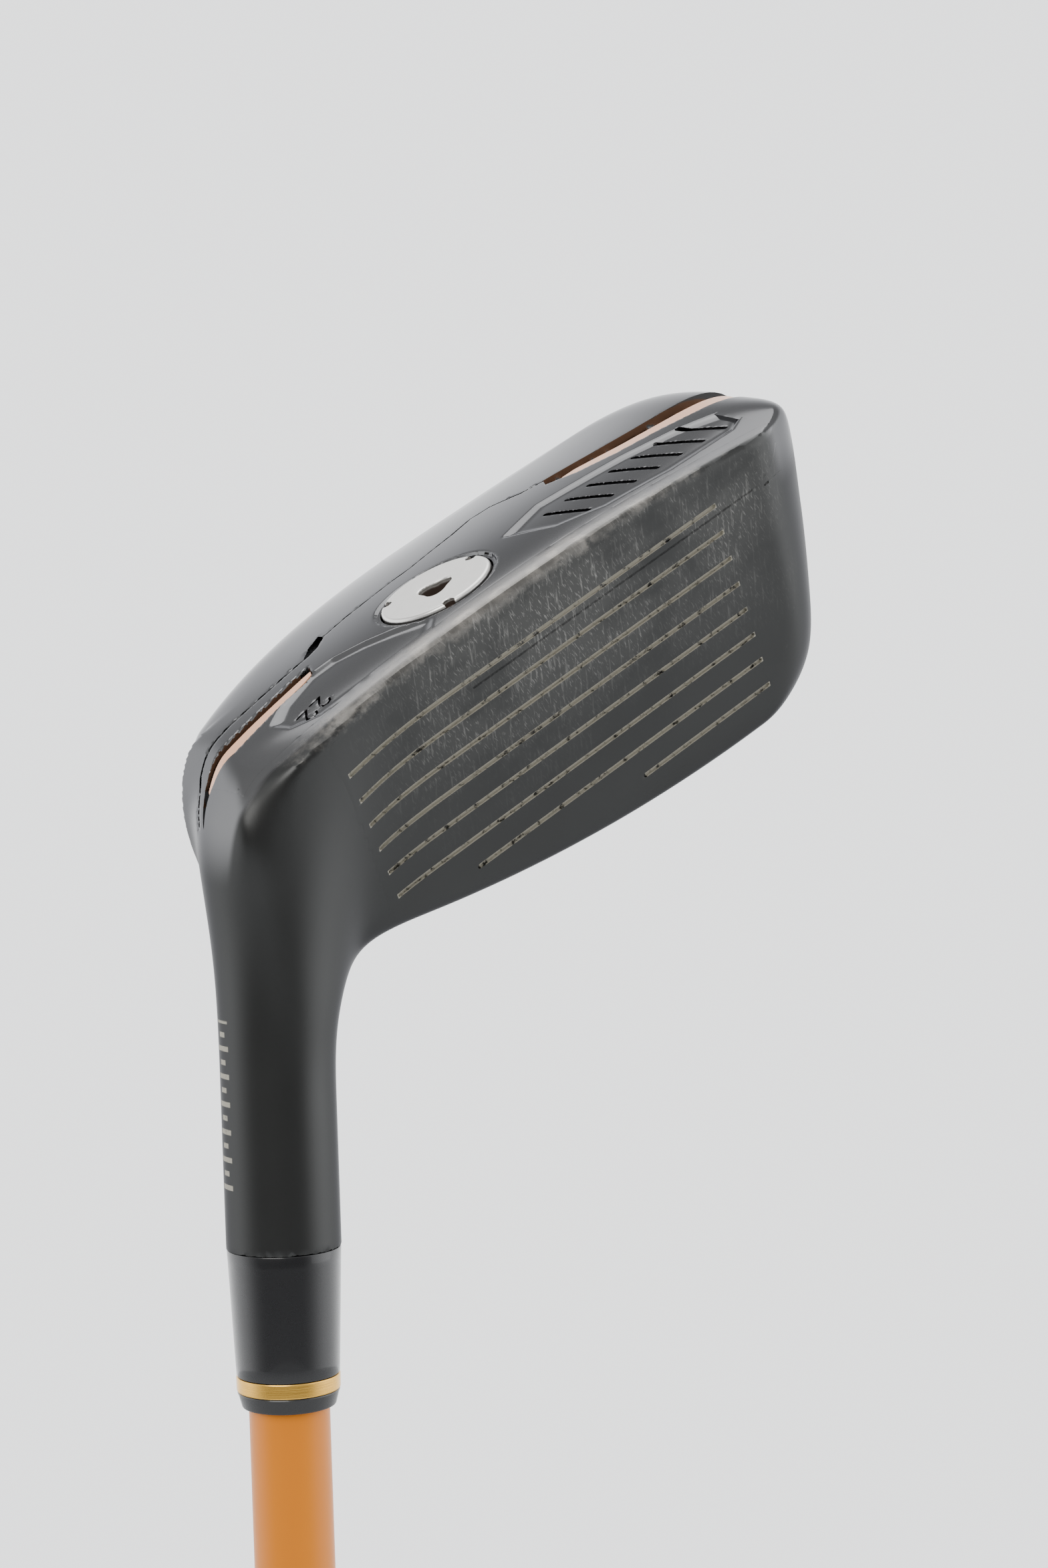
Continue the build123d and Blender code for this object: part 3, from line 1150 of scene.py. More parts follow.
@dataclass(frozen=True)
class Plates:
    """Borders of the plates that are set into the casting."""

    face: Outline = ((3.0, 4.6), (28.0, 3.8), (52.0, 4.6), (65.5, 7.5), (67.5, 17.0), (65.5, 27.0),
                     (60.0, 35.5), (46.0, 37.0), (28.0, 35.6), (14.0, 32.5), (3.0, 28.5))
    face_depth: float = 2.2
    sole_front: float = 6.6
    sole_heel: float = -9.5
    sole_toe: float = 71.5
    sole_depth: float = 2.2
    crown: Outline = ((6.0, -11.0), (30.0, -10.0), (56.0, -10.5), (63.0, -18.0), (58.0, -34.0), (40.0, -42.0),
                      (22.0, -36.0), (9.0, -23.0))
    crown_depth: float = 1.2
    face_round: float = 1.5
    crown_round: float = 2.0
    front_reach: float = -3.0
    sole_reach: float = 9.0
    crown_span: tuple[float, float] = (14.0, 50.0)
    lip: float = 0.6
    play: float = 0.05
    proud: float = 0.006

    def face_block(self, inset: float, depth: float) -> Field:
        """Block under the face plate's border, down to a depth behind the face."""
        outline = prism(self.face, self.face_round - inset)
        return outline.meet(slab(self.front_reach, depth)).placed(FACE)

    def sole_block(self, lip: float) -> Field:
        """Space in front of the seam, between the sole plate's other borders, less a lip along those.

        Args:
            lip: Width of the lip, in millimetres.

        Returns:
            Its field.
        """
        layout = SoleLayout()
        heel, toe, front = self.sole_heel + lip, self.sole_toe - lip, self.sole_front - lip
        seam = [q for q in layout.seam if heel < q[0] < toe]
        outline = [(heel, -4.7), *seam, (toe, -13.5), (toe, front), (heel + 1, front)]
        return prism(outline).meet(slab(layout.lowest, self.sole_reach))

    def crown_block(self, inset: float) -> Field:
        """Space over the crown plate's border."""
        return prism(self.crown, self.crown_round - inset).meet(slab(*self.crown_span))


@dataclass(frozen=True)
class HeadShape:
    """Solid forms of every piece of the head, all cut from one outside."""

    form: HeadForm = HeadForm()
    grooves: Grooves = Grooves()
    layout: SoleLayout = SoleLayout()
    port: WeightPort = WeightPort()
    marks: Marks = Marks()
    plates: Plates = Plates()
    bore_radius: float = 4.8
    bore_depth: float = 34.0

    def bore(self) -> Field:
        """The hosel's bore, in the head's frame.

        Returns:
            Its field.
        """
        top = HEAD.origin[2] - HOSEL_LENGTH
        centre = HEAD.local(np.array((0.0, 0.0, top)))
        place = Place(tuple(centre), tuple(map(tuple, np.array(HEAD.axes).T)))
        return drum(self.bore_radius, -5.0, self.bore_depth).placed(place)

    def body(self) -> Field:
        """The casting: everything that the plates leave over.

        Returns:
            Its field.
        """
        outside, plates = self.form.outside(), self.plates
        faces = plates.face_block(plates.lip, plates.face_depth + plates.play)
        sole_shell = self.layout.shell(outside, plates.sole_depth + plates.play)
        crown_shell = outside.grown(-plates.crown_depth - plates.play).flipped()
        below = plates.sole_block(plates.lip).meet(sole_shell)
        above = plates.crown_block(plates.lip).meet(crown_shell)
        solid = outside.without(faces).without(below).without(above).without(self.bore())
        solid = solid.without(self.port.cut()).without(self.port.well())
        solid = solid.without(self.layout.channels(outside))
        return solid.without(self.layout.seam_cut(outside), 0.15)

    def face_plate(self) -> Field:
        """The striking plate, with its lines.

        Returns:
            Its field.
        """
        block = self.plates.face_block(0.0, self.plates.face_depth)
        outside = self.form.outside()
        plate = outside.grown(self.plates.proud).meet(block)
        return plate.without(self.grooves.cutter(outside), 0.12)

    def sole_plate(self) -> Field:
        """The sole plate, with its panels, marks, channels and weight recess.

        Returns:
            Its field.
        """
        outside, layout = self.form.outside(), self.layout
        plate = outside.grown(self.plates.proud).meet(self.plates.sole_block(0.0))
        plate = plate.meet(layout.shell(outside, self.plates.sole_depth))
        plate = plate.without(layout.panels(outside), 0.4).without(self.marks.sole(outside), 0.1)
        plate = plate.without(layout.channels(outside), 0.3).without(layout.seam_cut(outside), 0.3)
        return plate.without(self.port.cut(), 0.5)

    def crown_plate(self) -> Field:
        """The crown's thin skin.

        Returns:
            Its field.
        """
        outside = self.form.outside()
        skin = outside.grown(self.plates.proud).without(outside.grown(-self.plates.crown_depth))
        return skin.meet(self.plates.crown_block(0.0))

    def strip(self, outline: Outline) -> Field:
        """A coloured strip lying in one of the sole's channels.

        Args:
            outline: The strip's plan.

        Returns:
            Its field.
        """
        outside, layout = self.form.outside(), self.layout
        deep = layout.shell(outside, layout.channel_depth + 0.2)
        return prism(outline, 0.05).meet(outside.grown(-layout.strip_top)).meet(deep)


# ---------------------------------------------------------------- finishes


class Sheen(Enum):
    """Roughness of the head's plated surfaces."""

    SATIN = 0.36
    POLISHED = 0.13


def new_material(name: str) -> tuple[bpy.types.Material, Nodes]:
    """An empty material and the builder of its tree."""
    material = bpy.data.materials.new(name)
    return material, Nodes(material)


@dataclass(frozen=True)
class DarkNickel:
    """Dark nickel plate: satin, polished under the sole, scuffed on the face, worn at the front edge."""

    name: str = "dark_nickel"
    satin: Colour = (0.052, 0.0525, 0.052)
    polished: Colour = (0.165, 0.165, 0.168)
    scuffed: Colour = (0.30, 0.295, 0.28)
    worn: Colour = (0.40, 0.375, 0.34)
    paint: Colour = (0.36, 0.34, 0.28)
    edge_tint: Colour = (0.55, 0.55, 0.56)
    tick_span: tuple[float, float] = (949.6, 969.9)
    tick_pitch: float = 3.2
    tick_rows: tuple[tuple[float, float], ...] = ((949.0, 1.5), (950.6, 0.8))

    def build(self, form: HeadForm, grooves: Grooves) -> bpy.types.Material:
        """Makes the material.

        Args:
            form: The head's form, which says where the sole is.
            grooves: The face's lines, which hold paint.

        Returns:
            The material.
        """
        material, nodes = new_material(self.name)
        across, up, deep = nodes.along(FACE_ROW)
        x, y, z = nodes.along(HEAD)
        where = nodes.vector(x, y, z)
        ahead = y.step(-30.0, -24.0)
        on_face = deep.step(1.3, 0.3) * ahead * up.step(-1.0, 0.5)
        polish = self.above_sole(form, x, y, z).step(9.0, 2.5) * (1.0 - on_face)
        smudge = nodes.noise(where, 0.06, 3.0, 0.5)
        scuff = self.scuffs(nodes, across, up) * on_face
        ragged = nodes.noise(where, 0.7, 4.0, 0.65)
        edge = (up + (ragged - 0.5) * 4.5).step(3.0, 0.6) * y.step(5.5, 8.8)
        wear = edge * (nodes.noise(where, 0.35, 3.0, 0.5).step(0.46, 0.62) * 0.42 + 0.3)
        paint = self.lines(grooves, across, up, deep)
        paint = paint * nodes.noise(where, 1.1, 4.0, 0.7).step(0.33, 0.48)
        base = nodes.mix(polish, self.satin, self.polished)
        base = nodes.mix(smudge * 0.35, base, tuple(c * 1.6 for c in self.satin))
        base = nodes.mix(scuff, base, self.scuffed)
        base = nodes.mix(wear, base, self.worn)
        paint = paint.larger(self.ticks(nodes))
        base = nodes.mix(paint, base, self.paint)
        satin, shine = Sheen.SATIN.value, Sheen.POLISHED.value
        rough = satin - 0.05 + smudge * 0.08 - polish * (satin - shine) + scuff * 0.15 + wear * 0.16
        nodes.set(Base_Color=base, Metallic=1.0 - paint, Roughness=rough + paint * 0.35,
                  Specular_Tint=self.edge_tint)
        nodes.bump(scuff * 0.6 + wear * ragged, 0.00005, 0.4)
        return material

    def ticks(self, nodes: Nodes) -> Value:
        """A row of painted ticks down the heel side of the hosel, every other one short.

        Args:
            nodes: The tree's builder.

        Returns:
            1 on the ticks and 0 elsewhere.
        """
        x, y, z = nodes.along(CLUB)
        low, high = self.tick_span
        span = z.step(low, low + 0.2) * z.step(high, high - 0.2) * x.step(-5.0, -5.5)
        rows = []
        for start, half in self.tick_rows:
            beside = abs((z - start).wrapped(self.tick_pitch) - self.tick_pitch / 2)
            rows.append(beside.step(0.34, 0.24) * abs(y).step(half, half - 0.15))
        chips = nodes.noise(nodes.vector(x, y, z), 2.5, 3.0, 0.7).step(0.25, 0.42)
        return rows[0].larger(rows[1]) * span * chips

    @staticmethod
    def above_sole(form: HeadForm, x: Value, y: Value, z: Value) -> Value:
        """Height over the sole's surface, in millimetres.

        Args:
            form: The head's form.
            x: Position towards the toe.
            y: Position towards the target.
            z: Position up from the ground.

        Returns:
            The height.
        """
        low_x, low_y, low_z = form.sole_low
        across = (y - form.sole_twist_from) * form.sole_twist + form.sole_across
        across = across.larger(form.sole_flattest) * (x - low_x) ** 2.0
        return z - (across + (y - low_y) ** 2.0 * form.sole_rise_front + low_z)

    @staticmethod
    def scuffs(nodes: Nodes, across: Value, up: Value) -> Value:
        """Short fine marks running up the face, densest low down and away from the heel.

        Args:
            nodes: The tree's builder.
            across: Position along the face.
            up: Position up the face.

        Returns:
            How scuffed the face is, from 0 to 1.
        """
        long = nodes.noise(nodes.vector(across * 2.2 + up * 0.5, up * 0.28, 0.0), 1.0, 3.0, 0.6)
        short = nodes.noise(nodes.vector(across * 5.0 - up * 1.1, up * 0.9, 3.0), 1.0, 2.0, 0.6)
        cloud = nodes.noise(nodes.vector(across * 0.07, up * 0.1, 8.0), 1.0, 3.0, 0.6).step(0.34, 0.6)
        zone = across.step(2.0, 24.0) * up.step(31.0, 7.0) * across.step(74.0, 58.0)
        haze = zone * cloud * 0.13
        marks = long.step(0.54, 0.70) * 0.45 + short.step(0.56, 0.70) * 0.5
        return (marks * cloud * zone + haze).smaller(0.75)

    @staticmethod
    def lines(grooves: Grooves, across: Value, up: Value, deep: Value) -> Value:
        """Where the scored lines are.

        Args:
            grooves: The lines.
            across: Position along the face.
            up: Position up the face.
            deep: Depth behind the face.

        Returns:
            1 in the lines and 0 elsewhere.
        """
        pitch, half = grooves.pitch, grooves.pitch / 2
        offset = abs((up - grooves.first + half).wrapped(pitch) - half)
        last = grooves.first + pitch * (grooves.count - 1)
        inside = offset.step(0.36, 0.3) * up.step(grooves.first - 1.0, grooves.first - 0.6)
        inside = inside * up.step(last + 1.0, last + 0.6) * deep.step(2.0, 1.6)
        number = (up - grooves.first) / pitch
        heel = number * grooves.heel[1] + grooves.heel[0]
        before = grooves.heel[0]
        for place, start in enumerate(grooves.short_heels, grooves.count - len(grooves.short_heels)):
            heel = heel + number.step(place - 0.52, place - 0.48) * (start - before)
            before = start
        toe = number * grooves.toe[1] + grooves.toe[0]
        return inside * (across - heel).step(-0.45, -0.3) * (toe - across).step(-0.45, -0.3)


@dataclass(frozen=True)
class BrightNickel:
    """Bright plate on the weight screw, with painted shade deep in its socket and in its notches."""

    name: str = "bright_nickel"
    colour: Colour = (0.83, 0.82, 0.79)
    hazed: Colour = (0.62, 0.60, 0.57)
    # Colour of the shade painted deep in the socket and in the notches.
    recess_shade: Colour = (0.045, 0.028, 0.02)

    def build(self) -> bpy.types.Material:
        """Makes the material.

        Returns:
            The material.
        """
        material, nodes = new_material(self.name)
        x, y, z = nodes.along(PORT_ROW)
        where = nodes.vector(x, y, z)
        cloud = nodes.noise(where, 0.6, 4.0, 0.6)
        grain = nodes.noise(nodes.vector(x * 0.8, y * 9.0, z), 1.0, 3.0, 0.6)
        radius = (x * x + y * y) ** 0.5
        # Painted shade: the socket is darkened below a small depth and the notches along their walls, where
        # shade falls.
        socket = radius.step(3.2, 2.9) * (z + (cloud - 0.5) * 0.5).step(-0.3, -0.7)
        notches = radius.step(5.6, 5.8) * radius.step(7.18, 7.1) * z.step(-0.25, -0.5) * z.step(-1.3, -1.1)
        dark = socket.larger(notches)
        base = nodes.mix(cloud * 0.45, self.colour, self.hazed)
        # Lays the painted shade over the plate and makes it dull and not metallic.
        base = nodes.mix(dark, base, self.recess_shade)
        nodes.set(Base_Color=base, Metallic=1.0 - dark, Roughness=grain * 0.14 + 0.24 + dark * 0.4)
        nodes.bump(grain, 0.00002, 0.3)
        return material


class Grain(Enum):
    """What kind of small relief a plain finish has."""

    CLOUDY = 1
    TURNED = 2


@dataclass(frozen=True)
class Plain:
    """One colour with slight mottling and a small relief."""

    name: str
    colour: Colour
    roughness: float
    metallic: float = 0.0
    coat: float = 0.0
    grain: Grain = Grain.CLOUDY
    mottle: float = 0.15
    relief: float = 0.00004

    def build(self) -> bpy.types.Material:
        """Makes the material.

        Returns:
            The material.
        """
        material, nodes = new_material(self.name)
        x, y, z = nodes.along(CLUB)
        where = nodes.vector(x, y, z)
        cloud = nodes.noise(where, 0.8, 4.0, 0.6)
        dark = tuple(c * (1 - self.mottle) for c in self.colour)
        base = nodes.mix(cloud, self.colour, dark)
        rough = cloud * 0.12 + (self.roughness - 0.06)
        nodes.set(Base_Color=base, Roughness=rough, Metallic=self.metallic, Coat_Weight=self.coat,
                  Coat_Roughness=0.04)
        if self.grain is Grain.CLOUDY:
            relief = nodes.noise(where, 3.0, 3.0, 0.6)
        else:
            relief = nodes.noise(nodes.vector(x * 0.1, y * 0.1, z * 9.0), 1.0, 2.0, 0.5)
        nodes.bump(relief, self.relief, 0.4)
        return material


@dataclass(frozen=True)
class ShaftPaint:
    """Orange lacquer on the shaft, with two thin dark bands just below the grip."""

    name: str = "shaft_paint"
    colour: Colour = (0.78, 0.235, 0.001)
    deep: Colour = (0.68, 0.185, 0.001)
    band: Colour = (0.03, 0.03, 0.032)
    bands: tuple[tuple[float, float], ...] = ((300.0, 303.0), (306.0, 307.0))

    def build(self) -> bpy.types.Material:
        """Makes the material.

        Returns:
            The material.
        """
        material, nodes = new_material(self.name)
        x, y, z = nodes.along(CLUB)
        flake = nodes.noise(nodes.vector(x * 8.0, y * 8.0, z * 8.0), 1.0, 3.0, 0.7)
        cloud = nodes.noise(nodes.vector(x * 0.2, y * 0.2, z * 0.02), 1.0, 3.0, 0.5)
        base = nodes.mix(flake * 0.3 + cloud * 0.4, self.colour, self.deep)
        for low, high in self.bands:
            inside = z.step(low - 0.05, low + 0.05) * z.step(high + 0.05, high - 0.05)
            base = nodes.mix(inside, base, self.band)
        nodes.set(Base_Color=base, Roughness=flake * 0.1 + 0.45, Metallic=0.0, Coat_Weight=0.25,
                  Coat_Roughness=0.05, Specular_IOR_Level=0.3)
        nodes.bump(cloud, 0.00003, 0.2)
        return material


@dataclass(frozen=True)
class GripRubber:
    """Black moulded rubber, dusty in its hollows."""

    name: str
    colour: Colour = (0.022, 0.022, 0.023)
    dust: Colour = (0.10, 0.098, 0.09)

    def build(self) -> bpy.types.Material:
        """Makes the material.

        Returns:
            The material.
        """
        material, nodes = new_material(self.name)
        x, y, z = nodes.along(CLUB)
        where = nodes.vector(x, y, z)
        grain = nodes.noise(where, 2.2, 4.0, 0.6)
        worn = nodes.noise(where, 0.05, 3.0, 0.6).step(0.42, 0.7)
        base = nodes.mix((grain * worn * 0.6).smaller(0.5), self.colour, self.dust)
        nodes.set(Base_Color=base, Roughness=0.72 - worn * 0.12, Specular_IOR_Level=0.35)
        nodes.bump(grain, 0.00008, 0.5)
        return material


# ---------------------------------------------------------------- pieces of the club


def dress(piece: bpy.types.Object, material: bpy.types.Material) -> None:
    """Gives a piece its material.

    Args:
        piece: The object.
        material: Its material.
    """
    piece.data.materials.clear()
    piece.data.materials.append(material)


def settle(piece: bpy.types.Object, material: bpy.types.Material, slot: str, body: str, *nodes: str) -> None:
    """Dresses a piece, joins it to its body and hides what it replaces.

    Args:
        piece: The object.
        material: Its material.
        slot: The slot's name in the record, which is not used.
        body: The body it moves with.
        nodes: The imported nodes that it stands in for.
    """
    dress(piece, material)
    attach(piece, body)
    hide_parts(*nodes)
    log.info("%s: %d faces", piece.name, len(piece.data.polygons))


def cell(fine: float) -> float:
    return fine * 1.0


@dataclass(frozen=True)
class Head:
    """The casting and the plates and strips set into it."""

    shape: HeadShape = HeadShape()
    body_cell: float = 0.5
    sole_cell: float = 0.24
    crown_cell: float = 0.45
    strip_cell: float = 0.2
    face_cell: Point = (0.42, 0.16, 0.2)
    low: Point = (-52.0, -54.0, -6.0)
    high: Point = (84.0, 14.0, 56.0)

    def build(self) -> None:
        """Makes and dresses all of the head's pieces."""
        nickel = DarkNickel().build(self.shape.form, self.shape.grooves)
        self.casting(nickel)
        self.face_plate(nickel)
        self.sole_plate(nickel)
        self.crown_plate()
        self.strips()

    def lattice(self, size: float, low: Point, high: Point) -> Lattice:
        """A cubic lattice in the head's frame."""
        return Lattice(CLUB, low, high, (cell(size),) * 3)

    def casting(self, nickel: bpy.types.Material) -> None:
        """The hollow body with the hosel.

        Args:
            nickel: Its material.
        """
        lattice = self.lattice(self.body_cell, self.low, self.high)
        piece = skin_object("v_head_body", self.shape.body(), lattice)
        settle(piece, nickel, "head_casting", "club", "head_body")

    def face_plate(self, nickel: bpy.types.Material) -> None:
        """The striking plate, sampled along the face so its lines stay crisp.

        Args:
            nickel: Its material.
        """
        size = tuple(cell(c) for c in self.face_cell)
        lattice = Lattice(FACE, (0.5, 1.0, -4.0), (71.0, 41.0, 4.0), size)
        piece = skin_object("v_face_plate", self.shape.face_plate(), lattice)
        settle(piece, nickel, "face_steel", "club", "face_plate")

    def sole_plate(self, nickel: bpy.types.Material) -> None:
        """The polished sole plate.

        Args:
            nickel: Its material.
        """
        lattice = self.lattice(self.sole_cell, (-12.0, -23.5, -4.0), (74.0, 9.0, 10.0))
        piece = skin_object("v_sole_plate", self.shape.sole_plate(), lattice)
        settle(piece, nickel, "sole_steel", "club", "sole_plate")

    def crown_plate(self) -> None:
        """The black crown."""
        lattice = self.lattice(self.crown_cell, (-2.0, -50.0, 12.0), (70.0, -4.0, 44.0))
        piece = skin_object("v_crown_plate", self.shape.crown_plate(), lattice)
        finish = Plain("crown_black", (0.012, 0.012, 0.014), 0.32, coat=1.0, relief=0.00001)
        settle(piece, finish.build(), "crown_steel", "club", "crown_plate")

    def strips(self) -> None:
        """The two copper-coloured strips."""
        layout = self.shape.layout
        enamel = Plain("copper_enamel", (0.86, 0.44, 0.25), 0.4, 0.2, 0.4, mottle=0.12).build()
        for side, outline in (("toe", layout.toe_strip), ("heel", layout.heel_strip)):
            xs = [p[0] for p in outline]
            lattice = self.lattice(self.strip_cell, (min(xs) - 1, -16.0, -4.0), (max(xs) + 1, 1.0, 14.0))
            piece = skin_object(f"v_{side}_inlay", self.shape.strip(outline), lattice)
            settle(piece, enamel, "copper_strip", "club", f"{side}_channel_inlay")


@dataclass(frozen=True)
class WeightScrew:
    """The weight with its threaded shank, three-cornered socket and notches, and its seal."""

    head_radius: float = 7.2
    head_thick: float = 1.8
    shank_radius: float = 4.5
    shank_length: float = 9.0
    socket_radius: float = 2.05
    socket_depth: float = 3.2
    socket_bulge: float = 0.16
    notch_radius: float = 0.75
    notch_reach: float = 0.93
    notch_angles: tuple[float, ...] = (-46.0, 74.0, 194.0)
    thread_pitch: float = 1.25
    thread_depth: float = 0.35
    seal_radius: float = 7.0
    seal_thick: float = 0.6
    size: float = 0.14

    def build(self) -> None:
        """Makes the screw and its seal."""
        lattice = Lattice(PORT, (-8.5, -8.5, -12.5), (8.5, 8.5, 1.0), (cell(self.size),) * 3)
        screw = skin_object("v_sole_weight", self.screw().placed(PORT), lattice)
        settle(screw, BrightNickel().build(), "weight_steel", "weight_screw", "sole_weight")
        seal = skin_object("v_weight_seal", self.seal().placed(PORT), lattice)
        rubber = Plain("seal_rubber", (0.03, 0.027, 0.025), 0.7).build()
        settle(seal, rubber, "seal_rubber", "weight_seal", "weight_seal_ring")

    def socket(self) -> Field:
        """Three-cornered socket with bulging sides.

        Returns:
            Its field, about the port.
        """

        def distance(p: Array) -> Array:
            """Distance outside a round wall that bulges towards three corners.

            Args:
                p: Points about the port.

            Returns:
                Their distances.
            """
            angle = np.arctan2(p[..., 1], p[..., 0])
            radius = self.socket_radius * (1 + self.socket_bulge * np.cos(3 * (angle - math.pi)))
            return np.hypot(p[..., 0], p[..., 1]) - radius

        return Field(distance).meet(slab(-self.socket_depth, 4.0))

    def threads(self) -> Field:
        """Threaded shank.

        Returns:
            Its field, about the port.
        """

        def distance(p: Array) -> Array:
            """Distance outside a round bar whose radius follows a helix.

            Args:
                p: Points about the port.

            Returns:
                Their distances.
            """
            turn = p[..., 2] / self.thread_pitch - np.arctan2(p[..., 1], p[..., 0]) / (2 * math.pi)
            wave = np.abs(turn - np.round(turn)) * 2
            cut = self.thread_depth * ramp(-p[..., 2], 2.6, 3.4) * wave
            return (np.hypot(p[..., 0], p[..., 1]) - self.shank_radius + cut) * 0.85

        return Field(distance).meet(slab(-self.shank_length - self.head_thick, -0.5), 0.6)

    def screw(self) -> Field:
        """The whole screw, along the port's axis with its face at z = 0.

        Returns:
            Its field, about the port.
        """
        whole = drum(self.head_radius, -self.head_thick, 0.0, 0.45).join(self.threads(), 0.2)
        whole = whole.without(self.socket(), 0.35)
        for angle in self.notch_angles:
            turn = math.radians(angle)
            reach = self.head_radius * self.notch_reach
            place = Place((reach * math.cos(turn), reach * math.sin(turn), 0.0), CLUB.axes)
            whole = whole.without(drum(self.notch_radius, -0.9, 3.0).placed(place), 0.2)
        return whole

    def seal(self) -> Field:
        """The rubber ring under the screw's head.

        Returns:
            Its field, about the port.
        """
        low = -self.head_thick - self.seal_thick
        ring = drum(self.seal_radius, low, -self.head_thick, 0.25)
        return ring.without(round_bar(self.shank_radius + 0.1), 0.1)


@dataclass(frozen=True)
class Ferrule:
    """Tapered black sleeve with a gold ring and an end ring."""

    mouth: float = 943.0
    sleeve_length: float = 14.8
    trim_length: float = 1.8
    end_length: float = 1.9
    bore: float = 4.75
    turns: int = 96

    def ring(self, name: str, high: float, length: float, radii: tuple[float, float]) -> bpy.types.Object:
        """One ring of the ferrule, with eased edges.

        Args:
            name: The object's name.
            high: Height of its end nearer the head.
            length: Its length.
            radii: Its outer radius at that end and at the other.

        Returns:
            The object.
        """
        low, ease = high - length, 0.18
        outer = [(radii[0] - ease, high), (radii[0] - ease * 0.3, high - ease * 0.3),
                 (radii[0], high - ease)]
        for share in np.linspace(0.1, 0.9, 9):
            outer.append((radii[0] + (radii[1] - radii[0]) * share, high - length * share))
        outer += [(radii[1], low + ease), (radii[1] - ease * 0.3, low + ease * 0.3),
                  (radii[1] - ease, low)]
        inner = [(self.bore, low), (self.bore, low + length / 2), (self.bore, high)]
        return lathe(name, outer + inner, self.turns)

    def build(self) -> None:
        """Makes the three rings."""
        black = Plain("ferrule_black", (0.003, 0.003, 0.0045), 0.28, coat=0.4, relief=0.00001).build()
        gold = Plain("trim_gold", (0.86, 0.50, 0.10), 0.26, 1.0, grain=Grain.TURNED).build()
        high = self.mouth
        sleeve = self.ring("v_ferrule_sleeve", high, self.sleeve_length, (6.62, 6.0))
        settle(sleeve, black, "ferrule_black", "club", "ferrule_sleeve")
        high -= self.sleeve_length
        trim = self.ring("v_ferrule_trim", high, self.trim_length, (6.05, 6.02))
        settle(trim, gold, "trim_gold", "club", "ferrule_trim_ring")
        high -= self.trim_length
        end = self.ring("v_ferrule_end", high, self.end_length, (5.95, 5.45))
        settle(end, black, "ferrule_black", "club", "ferrule_end_ring")


@dataclass(frozen=True)
class Shaft:
    """Tapered tube from the grip's butt to inside the hosel."""

    tip: float = 975.0
    parallel_to: float = 880.0
    butt_to: float = 280.0
    butt: float = 6.0
    tip_radius: float = 4.7
    butt_radius: float = 7.6
    wall: float = 1.2
    turns: int = 96

    def build(self) -> None:
        """Makes the tube."""
        narrows, length = self.tip_radius - self.butt_radius, self.parallel_to - self.butt_to
        taper = [(self.butt_radius + narrows * share, self.butt_to + length * share)
                 for share in np.linspace(0, 1, 40)]
        outer = [(self.tip_radius - 0.2, self.tip), (self.tip_radius, self.tip - 0.2),
                 (self.tip_radius, 940.0), (self.tip_radius, 910.0), *taper[::-1],
                 (self.butt_radius, 140.0), (self.butt_radius, self.butt)]
        inner = [(self.butt_radius - self.wall, self.butt), (self.butt_radius - self.wall, self.butt_to),
                 (self.tip_radius - self.wall, self.parallel_to), (self.tip_radius - self.wall, self.tip)]
        tube = lathe("v_shaft", outer + inner, self.turns)
        settle(tube, ShaftPaint().build(), "shaft_paint", "club", "shaft")


